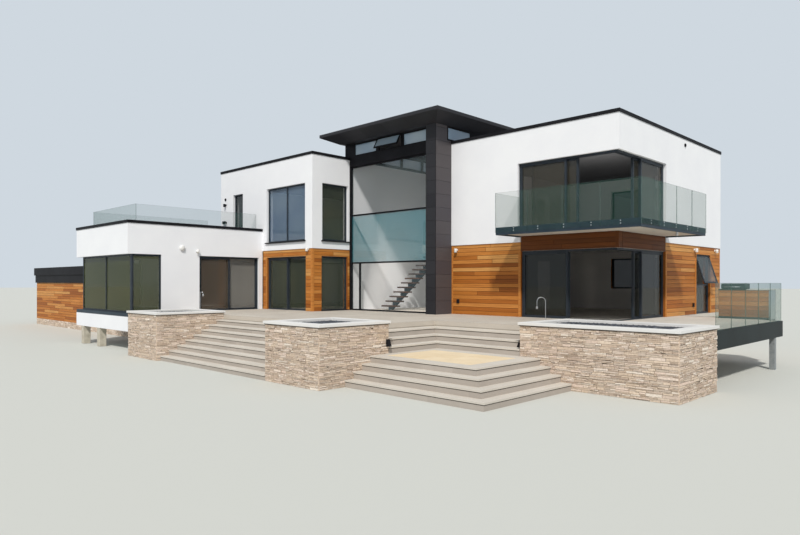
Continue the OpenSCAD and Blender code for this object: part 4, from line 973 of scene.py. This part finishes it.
# %% The galvanised post of the side deck
deck_frame = bpy.data.objects["side_deck_frame_dressed"].data
deck_frame.materials.append(zinc)
bm = bmesh.new()
bm.from_mesh(deck_frame)
beam_foot = min(v.co.z for v in bm.verts if v.co.z > 0.1)
cut(bm, bm.faces[:], (0, 0, beam_foot), (0, 0, 1))
for face in bm.faces:
    face.material_index = int(face.calc_center_median().z < beam_foot)
bm.to_mesh(deck_frame)
bm.free()
print("the post below", round(beam_foot, 2), "m is galvanised")

# %% [markdown]
# ## The pier and the hall roof
# The pier is clad in folded cassettes, one above the other about every 480 mm. Its side looks
# lighter and browner than its front, because it takes up the light of the white wall beside it, so
# the two sides draw their tones from different ends of the scale. The roof is laid in sheets, with
# a sloping soffit of the same metal.

# %% Pier cassettes
CASSETTE, CASSETTE_DEPTH = 0.482, 0.008
panel_dice = random.Random(3)
pier = cad_copy("entrance_pier")
pier_low, pier_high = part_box("entrance_pier")
rows = int((pier_high.z - pier_low.z) / CASSETTE)
courses(pier, [pier_low.z + CASSETTE * k for k in range(1, rows + 1)])
set_tone(pier, pier.faces, 0.4)
cassettes = [f for f in pier.faces if stands(f) and f.normal.y < 0.5]
draw_back(cassettes, CASSETTE_DEPTH)
raise_each(pier, cassettes, 0.005, CASSETTE_DEPTH, panel_dice, 0.3)
tone = pier.faces.layers.float["tone"]
for face in cassettes:
    if face.normal.x > 0.5:
        face[tone] += 0.7
piece(pier, "pier_cladding", "pier_panel", pier_sheet, replaces=("entrance_pier",))

# %% Roof sheets
SHEET = 1.2
roof = cad_copy("entrance_roof")
merge_flats(roof)
roof_low, roof_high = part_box("entrance_roof")
set_tone(roof, roof.faces, 0.5)
for i in (0, 1):
    for k in range(1, int((roof_high[i] - roof_low[i]) / SHEET) + 1):
        along = [f for f in roof.faces if (f.normal.z < -0.05 and abs(f.normal[i]) < 0.05)
                 or (looks_up(f) and i == 0)]
        cut(roof, along, *upright(i, roof_low[i] + k * SHEET))
raise_each(roof, [f for f in roof.faces if abs(f.normal.z) > 0.05], 0.006, 0.0, panel_dice)
piece(roof, "hall_roof", "roof_metal", roof_sheet, replaces=("entrance_roof",))

# %% Flat roofs with lapped membrane
paved("flat_roofs", "roof_membranes", slot="membrane", stone=membrane, pitch=1.5)

# %% [markdown]
# ## Plain walls and floors
# The rendered walls are right as the CAD has them. They keep their own objects, and only get their
# finish. So do the panes of the hall and of the doors.

# %% Finishes on the CAD's own nodes
own = {
    white_render: ("wing_floor", "wing_walls", "wing_fascia", "block_front_wall", "block_upper_walls",
                   "left_lower_walls", "hall_rear_wall", "right_hall_wall", "right_upper_front",
                   "right_upper_walls"),
    concrete: ("foundation_walls",),
    plaster: ("upper_floors",),
    soffit_board: ("balcony_deck",),
    curtain_glass: ("wing_door_glass",),
    room_glass: ("block_door_glass",),
    kitchen_glass: ("kitchen_door_glass",),
    clerestory_glass: ("clerestory_glass",),
    hall_glass: ("entrance_glass",),
    teal_glass: ("entrance_band",),
}
for one, nodes in own.items():
    for node in nodes:
        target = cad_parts[node]
        if target.material_slots:
            target.material_slots[0].material = one
        else:
            target.data.materials.append(one)
print(sum(len(nodes) for nodes in own.values()), "nodes keep their shape")

# %% [markdown]
# The fixed panes of each wing are one CAD node, and they need the finishes of several groups. So
# the node is copied, and each pane takes the finish of the place that its middle lies in.


# %% Panes in groups
def glazed(node, name, pick, *finishes):
    """A copy of a node of panes: pick gives the number of the finish for the middle of a pane"""
    bm = cad_copy(node)
    for body in islands(bm):
        low, high = extent(body)
        group = pick((low + high) / 2 + ORIGIN)
        for face in body:
            face.material_index = group
    return piece(bm, name, "tinted_glass", *finishes, replaces=(node,))


REAR = sides("hall_rear_wall")[0].y - 1.0
WING_REAR = BLOCK_FRONT - 1.0
WING_INNER = WING_SIDE - 0.3
WING_CORNER = 2.0


def left_group(middle):
    """Rear, wing front, wing corner, wing door, bedroom front, block, and the small upper window"""
    if middle.y > REAR:
        return 0
    if middle.y < WING_REAR:
        if middle.x < WING_INNER:
            return 1
        return 2 if middle.y < WING_CORNER else 3
    if middle.z > UPPER and middle.y < WING_REAR + 1.5:
        return 4 if middle.x > WING_INNER else 6
    return 5


def right_group(middle):
    """Rear, the upper corner, the kitchen corner and the window at its side"""
    if middle.y > REAR:
        return 0
    if middle.z > UPPER:
        return 1
    return 2 if middle.y < REAR - 2.5 else 3


glazed("left_glass", "left_panes", left_group, rear_glass, garden_reflection_glass, corner_glass,
       boarding_glass, sky_reflection_glass, room_glass, window_glass)
glazed("right_glass", "right_panes", right_group, rear_glass, ceiling_glass, kitchen_glass,
       window_glass)

# %% [markdown]
# ## Balustrades
# The panes are toughened glass with polished edges. Seen along the edge, the glass is green, so the
# narrow faces of each pane get a denser finish than the wide ones.

# %% Panes with green edges
NARROW = 0.04


def balustrade(node, name):
    """Copies the panes and gives their narrow faces the edge finish"""
    bm = cad_copy(node)
    merge_flats(bm)
    for face in bm.faces:
        low, high = extent([face])
        face.material_index = 1 if sorted(high - low)[1] < NARROW else 0
    ease(bm, true_edges(bm), 0.002, segments=1, material=1)
    return piece(bm, name, "clear_glass", rail_glass, rail_edge, replaces=(node,))


balustrade("balcony_glass", "balcony_panes")
balustrade("roof_terrace_glass", "roof_terrace_panes")
balustrade("side_deck_glass", "side_deck_panes")

# %% The stair treads
treads = cad_copy("stair_treads")
for body in islands(treads):
    set_tone(treads, body, slab_dice.random())
merge_flats(treads)
ease(treads, treads.edges[:], 0.004)
piece(treads, "oak_treads", "dark_oak", dark_oak, replaces=("stair_treads",))

# %% [markdown]
# ## Slate chippings
# Each bed is a heap of flat chips, 30 to 60 mm across. Only the top of the heap shows, so the bed
# itself is left flat and dark, and some 260 thin, tilted, five-sided chips to the square metre are
# strewn over it, each with a tone of its own.

# %% Chippings
CHIPS_PER_SQUARE_METRE = 260
CHIP_MARGIN = 0.04
chip_dice = random.Random(2)
toss = chip_dice.uniform
slate = cad_copy("planter_beds")
set_tone(slate, slate.faces, 0.2)
for body in islands(slate):
    low, high = extent(body)
    for _ in range(int((high.x - low.x) * (high.y - low.y) * CHIPS_PER_SQUARE_METRE)):
        spot = Vector((toss(low.x + CHIP_MARGIN, high.x - CHIP_MARGIN),
                       toss(low.y + CHIP_MARGIN, high.y - CHIP_MARGIN), high.z + toss(-0.004, 0.010)))
        tilt = Matrix.Rotation(toss(0, math.tau), 4, "Z") @ Matrix.Rotation(toss(-0.5, 0.5), 4, "X")
        size = Matrix.Diagonal((toss(0.03, 0.06), toss(0.02, 0.04), toss(0.006, 0.012), 1.0))
        chip = bmesh.ops.create_cone(slate, cap_ends=True, cap_tris=False, segments=5, radius1=0.6,
                                     radius2=0.5, depth=1.0,
                                     matrix=Matrix.Translation(spot) @ tilt @ size)
        set_tone(slate, {f for v in chip["verts"] for f in v.link_faces}, chip_dice.random())
piece(slate, "slate_beds", "slate", chippings, replaces=("planter_beds",))

# %% [markdown]
# ## Trims, sills and lamps
# Small things make the scale of a house readable: the upright cedar trims at corners and doors, the
# folded sills under the windows, the lamps on the walls, and the fixings of the balcony glass.

# %% Cedar trims
TRIM = 0.09
PROUD = 0.014
IN = 0.02
SIDE_WINDOW, SIDE_WINDOW_IN = 1.46, 1.04
front_low, front_high = sides("right_lower_front")
RIGHT_REAR = sides("right_lower_walls")[1].y
window_far = RIGHT_REAR - SIDE_WINDOW_IN
window_near = window_far - SIDE_WINDOW
BLOCK_JAMB = 20.06
boards = [
    ((KITCHEN_X - TRIM, RIGHT_FRONT - PROUD, DECK), (KITCHEN_X, RIGHT_FRONT + IN, HEAD)),
    ((front_low.x, RIGHT_FRONT - PROUD, DECK), (front_low.x + 0.06, RIGHT_FRONT + IN, BAND)),
    ((RIGHT_SIDE - TRIM, RIGHT_FRONT - PROUD, HEAD), (RIGHT_SIDE + PROUD, RIGHT_FRONT + TRIM, front_high.z)),
    ((RIGHT_SIDE - IN, KITCHEN_Y, DECK), (RIGHT_SIDE + PROUD, KITCHEN_Y + TRIM, HEAD)),
    ((RIGHT_SIDE - IN, window_near - TRIM, DECK), (RIGHT_SIDE + PROUD, window_near, HEAD + TRIM)),
    ((RIGHT_SIDE - IN, window_far, DECK), (RIGHT_SIDE + PROUD, window_far + TRIM, HEAD + TRIM)),
    ((RIGHT_SIDE - IN, window_near, HEAD), (RIGHT_SIDE + PROUD, window_far, HEAD + TRIM)),
    ((RIGHT_SIDE - TRIM, RIGHT_REAR - IN, DECK), (RIGHT_SIDE + PROUD, RIGHT_REAR + PROUD, BAND)),
    ((BLOCK_SIDE - TRIM, BLOCK_FRONT - PROUD, DECK), (BLOCK_SIDE + PROUD, BLOCK_FRONT + TRIM, BAND)),
    ((BLOCK_JAMB - TRIM, BLOCK_FRONT - PROUD, DECK), (BLOCK_JAMB, BLOCK_FRONT + IN, HEAD)),
]
trims = bmesh.new()
tone = trims.faces.layers.float.new("tone")
for low, high in boards:
    block(trims, at(*low), at(*high), 0.003)
for face in trims.faces:
    # Trims under the balcony get a low tone: painted shade.
    face[tone] = 0.04 if in_painted_balcony_shade(face, lift=0.01) else 0.72
piece(trims, "cedar_trims", "cedar", cedar)

# %% Window sills
WINDOW_LEFT, WINDOW_RIGHT = BLOCK_JAMB, 22.76
WINDOW_FRONT, WINDOW_REAR = 6.29, 7.65
SILL_TOP, SILL_FOOT = UPPER - 0.07, UPPER - 0.115
SILL_IN = 0.18
sills = bmesh.new()
for low, high in (
    ((WINDOW_LEFT - 0.05, UPPER_FRONT - 0.07, SILL_FOOT),
     (WINDOW_RIGHT + 0.05, UPPER_FRONT + SILL_IN, SILL_TOP)),
    ((UPPER_SIDE - SILL_IN, WINDOW_FRONT - 0.05, SILL_FOOT),
     (UPPER_SIDE + 0.07, WINDOW_REAR + 0.05, SILL_TOP)),
    ((UPPER_SIDE - SILL_IN, WINDOW_FRONT - 0.03, DECK),
     (UPPER_SIDE + 0.03, WINDOW_REAR + 0.03, DECK + 0.03)),
):
    block(sills, at(*low), at(*high), 0.004)
piece(sills, "window_sills", "charcoal_frame", charcoal)

# %% Balcony fixings, downlights and outlet
BUTTON_PITCH, BUTTON_OUT = 0.87, 0.022
BUTTON_ROWS = UPPER - 0.045, UPPER - 0.12
DOWNLIGHTS = (32.0, 7.6), (33.6, 7.6), (35.3, 7.6), (35.3, 9.3), (35.3, 10.9)
OUTLET = 35.84, 9.68
fixings = bmesh.new()
balcony_low, balcony_high = sides("balcony_edge")
button = [(0.0, 0.0), (0.016, 0.0), (0.018, 0.003), (0.018, 0.008), (0.014, 0.010), (0.0, 0.010)]
for k in range(5):
    x = balcony_low.x + 0.70 + BUTTON_PITCH * k
    y = balcony_low.y + 0.60 + BUTTON_PITCH * k
    for z in BUTTON_ROWS:
        turned(fixings, button, at(x, balcony_low.y - BUTTON_OUT, z), (0, -1, 0), 14)
        turned(fixings, button, at(balcony_high.x + BUTTON_OUT, y, z), (1, 0, 0), 14)
downlight = [(0.0, 0.004), (0.035, 0.004), (0.04, -0.006), (0.05, -0.006), (0.05, 0.0)]
for x, y in DOWNLIGHTS:
    turned(fixings, downlight, at(x, y, UPPER - 0.2), (0, 0, 1), 18)
outlet = [(0.0, 0.0), (0.026, 0.0), (0.03, 0.0), (0.03, 0.15)]
turned(fixings, outlet, at(*OUTLET, UPPER - 0.35), (0, 0, 1), 16)
piece(fixings, "balcony_fixings", "blue_steel", chrome)

# %% Wall lamps
WHITE, DARK, LENS = 0, 1, 2
TO_FRONT, TO_SIDE = Vector((0, -1, 0)), Vector((1, 0, 0))
lamps = bmesh.new()
bracket = [(0.0, 0.0), (0.045, 0.0), (0.045, 0.02), (0.02, 0.03), (0.02, 0.07), (0.0, 0.07)]
shade = [(0.0, 0.0), (0.05, 0.0), (0.055, 0.01), (0.055, 0.13), (0.048, 0.14), (0.044, 0.13), (0.0, 0.13)]
lens = [(0.0, 0.0), (0.042, 0.0), (0.042, 0.004), (0.0, 0.008)]


def spot_lamp(x, y, z, out, colour=WHITE, aim=(0, 0, -1)):
    """A wall bracket with a short round head that aims one way, and its lens"""
    turned(lamps, bracket, at(x, y, z), out, 16, colour)
    head = at(x, y, z) + out * 0.09 - Vector(aim).normalized() * 0.05
    turned(lamps, shade, head, aim, 18, colour)
    turned(lamps, lens, head + Vector(aim).normalized() * 0.131, aim, 14, LENS)


spot_lamp(28.49, RIGHT_FRONT, 3.74, TO_FRONT)
spot_lamp(RIGHT_SIDE, 14.4, 3.76, TO_SIDE)
spot_lamp(RIGHT_SIDE, 16.55, 3.8, TO_SIDE)
spot_lamp(22.95, BLOCK_FRONT, 3.88, TO_FRONT)
spot_lamp(WING_SIDE, 2.74, 3.8, TO_SIDE, aim=(0.4, -0.5, -0.8))
spot_lamp(16.73, UPPER_FRONT, 6.14, TO_FRONT, DARK)
spot_lamp(16.64, UPPER_FRONT, 5.33, TO_FRONT, DARK, (0.7, -0.3, -0.5))
spot_lamp(16.76, UPPER_FRONT, 5.33, TO_FRONT, DARK, (-0.7, -0.3, -0.5))
puck = [(0.0, 0.0), (0.06, 0.0), (0.06, 0.03), (0.05, 0.04), (0.0, 0.04)]
turned(lamps, puck, at(16.70, UPPER_FRONT, 6.40), TO_FRONT, 18, DARK)
turned(lamps, puck, at(RIGHT_SIDE + 0.03, 13.43, 7.42), TO_SIDE, 18, DARK)
dome = [(0.0, 0.0), (0.115, 0.0), (0.118, 0.02), (0.11, 0.05), (0.08, 0.08), (0.04, 0.095), (0.0, 0.1)]
turned(lamps, dome, at(WING_SIDE, 2.11, 3.89), TO_SIDE, 24)
block(lamps, at(28.49, RIGHT_FRONT - 0.04, 1.81), at(28.60, RIGHT_FRONT + 0.005, 1.95), 0.008, DARK)
block(lamps, at(RIGHT_SIDE - 0.005, 14.25, 1.68), at(RIGHT_SIDE + 0.04, 14.36, 1.82), 0.008, DARK)
piece(lamps, "wall_lamps", "render", white_metal, charcoal, lamp_glass)

# %% [markdown]
# ### Garden lamps
# Two slim garden lamps stand at the planters, each a steel tube with a swan neck. A tube along a
# bent path is a small circle that is extruded from one point of the path to the next, and turned a
# little on the way so that it stays square to the path.


# %% Swan-neck lamps
def tube(bm, path, radius):
    """A round bar along a path of points"""
    way = (path[1] - path[0]).normalized()
    first = Matrix.Translation(path[0]) @ way.to_track_quat("Z", "Y").to_matrix().to_4x4()
    verts = bmesh.ops.create_circle(bm, cap_ends=False, segments=12, radius=radius,
                                    matrix=first)["verts"]
    rim = list({e for v in verts for e in v.link_edges})
    for i in range(1, len(path)):
        grown = bmesh.ops.extrude_edge_only(bm, edges=rim)["geom"]
        verts = [g for g in grown if isinstance(g, bmesh.types.BMVert)]
        rim = [g for g in grown if isinstance(g, bmesh.types.BMEdge) and g.is_boundary]
        ahead = (path[min(i + 1, len(path) - 1)] - path[i - 1]).normalized()
        bmesh.ops.rotate(bm, verts=verts, cent=path[i - 1],
                         matrix=way.rotation_difference(ahead).to_matrix())
        bmesh.ops.translate(bm, verts=verts, vec=path[i] - path[i - 1])
        way = ahead
    bmesh.ops.recalc_face_normals(bm, faces=bm.faces[:])
    for face in bm.faces:
        face.smooth = True


def swan_neck(name, x, y, out, height, reach, drop):
    """A standing lamp: a stem so high, a round bend that reaches out to one side, a drop to the head"""
    bm = bmesh.new()
    foot = at(x, y, DECK)
    neck = foot + Vector((0, 0, height))
    bend = []
    for k in range(15):
        angle = math.pi * k / 14
        aside = Vector(out) * reach / 2 * (1 - math.cos(angle))
        bend.append(neck + aside + Vector((0, 0, reach / 2 * math.sin(angle))))
    head = bend[-1] - Vector((0, 0, drop))
    tube(bm, [foot, foot + Vector((0, 0, 0.3)), *bend, head], 0.009)
    base = [(0.0, 0.0), (0.04, 0.0), (0.04, 0.006), (0.012, 0.012), (0.0, 0.012)]
    turned(bm, base, foot, (0, 0, 1), 18)
    turned(bm, [(0.0, 0.0), (0.018, 0.0), (0.03, 0.02), (0.03, 0.08), (0.0, 0.08)], head, (0, 0, -1), 18)
    return piece(bm, name, "charcoal_frame", chrome)


swan_neck("right_garden_lamp", 33.0, 7.0, (-0.7, -0.7, 0), 0.58, reach=0.26, drop=0.14)
swan_neck("left_garden_lamp", 21.1, 2.16, (0.7, 0.7, 0), 0.72, reach=0.11, drop=0.02)

# %% Step lights
LIGHT_THICK, LIGHT_TALL, LIGHT_FLARE = 0.05, 0.18, 0.07
wedges = bmesh.new()
for x, y, z, out in ((31.39, 1.94, 0.9, 1), (34.15, 4.0, 0.92, -1)):
    spot = at(x, y, z)
    left, right = sorted((0, out * LIGHT_THICK))
    block(wedges, spot + Vector((left, -0.05, 0)), spot + Vector((right, 0.05, LIGHT_TALL)))
    for vert in wedges.verts:
        is_lower = vert.co.z < z + 0.1 and abs(vert.co.y - spot.y) < 0.1
        if is_lower and (vert.co.x - spot.x) * out > 0.02:
            vert.co.x += out * LIGHT_FLARE
ease(wedges, wedges.edges[:], 0.004)
piece(wedges, "step_lights", "charcoal_frame", charcoal)

# %% Door pulls
PULL_IN, PULL_OUT, PULL_FOOT = 0.03, 0.05, DECK + 0.95
rail = [(0.0, 0.0), (0.011, 0.0), (0.013, 0.003), (0.013, 0.317), (0.011, 0.32), (0.0, 0.32)]
foot = [(0.0, 0.0), (0.008, 0.0), (0.008, PULL_OUT), (0.0, PULL_OUT)]
for leaf in LEAVES:
    pulls = bmesh.new()
    low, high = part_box(leaf + "_door")
    if leaf == "wing":
        spot, out = Vector((low.x, high.y - PULL_IN, PULL_FOOT)), Vector((-1, 0, 0))
    else:
        edge = high.x - PULL_IN if leaf == "block" else low.x + PULL_IN
        spot, out = Vector((edge, high.y, PULL_FOOT)), Vector((0, 1, 0))
    turned(pulls, rail, spot + out * PULL_OUT, (0, 0, 1), 14)
    for lift in (0.05, 0.27):
        turned(pulls, foot, spot + Vector((0, 0, lift)), out, 10)
    piece(pulls, leaf + "_door_pull", "charcoal_frame", chrome, body=leaf + "_leaf")

# %% The counter on the side deck
LID_SHARE = 0.56
STONE, LID, END, GRIP = 0, 1, 2, 3
low, high = sides("deck_counter")
middle = low.x + LID_SHARE * (high.x - low.x)
slab_top = high.z + 0.03
top = bmesh.new()
top.faces.layers.float.new("tone")
for first, last, soft, part in (
    ((middle, low.y - 0.02, high.z), (high.x + 0.01, high.y + 0.01, slab_top), 0.004, STONE),
    ((low.x - 0.01, low.y - 0.02, high.z), (middle, high.y + 0.01, slab_top), 0.004, LID),
    ((low.x + 0.06, low.y + 0.03, slab_top), (middle - 0.06, high.y - 0.03, high.z + 0.21), 0.03, LID),
    ((low.x, low.y - 0.004, DECK), (high.x, low.y + 0.03, DECK + 0.07), 0.002, LID),
    ((high.x - 0.03, low.y - 0.012, DECK), (high.x + 0.012, high.y, high.z), 0.003, END),
):
    block(top, at(*first), at(*last), soft, part)
set_tone(top, top.faces, 0.6)
handle = [(0.0, 0.0), (0.011, 0.0), (0.011, 0.5), (0.0, 0.5)]
turned(top, handle, at(low.x + 0.15, low.y + 0.005, high.z + 0.1), (1, 0, 0), 12, GRIP)
piece(top, "counter_top", "coping", worktop_stone, charcoal, blue_steel, chrome)
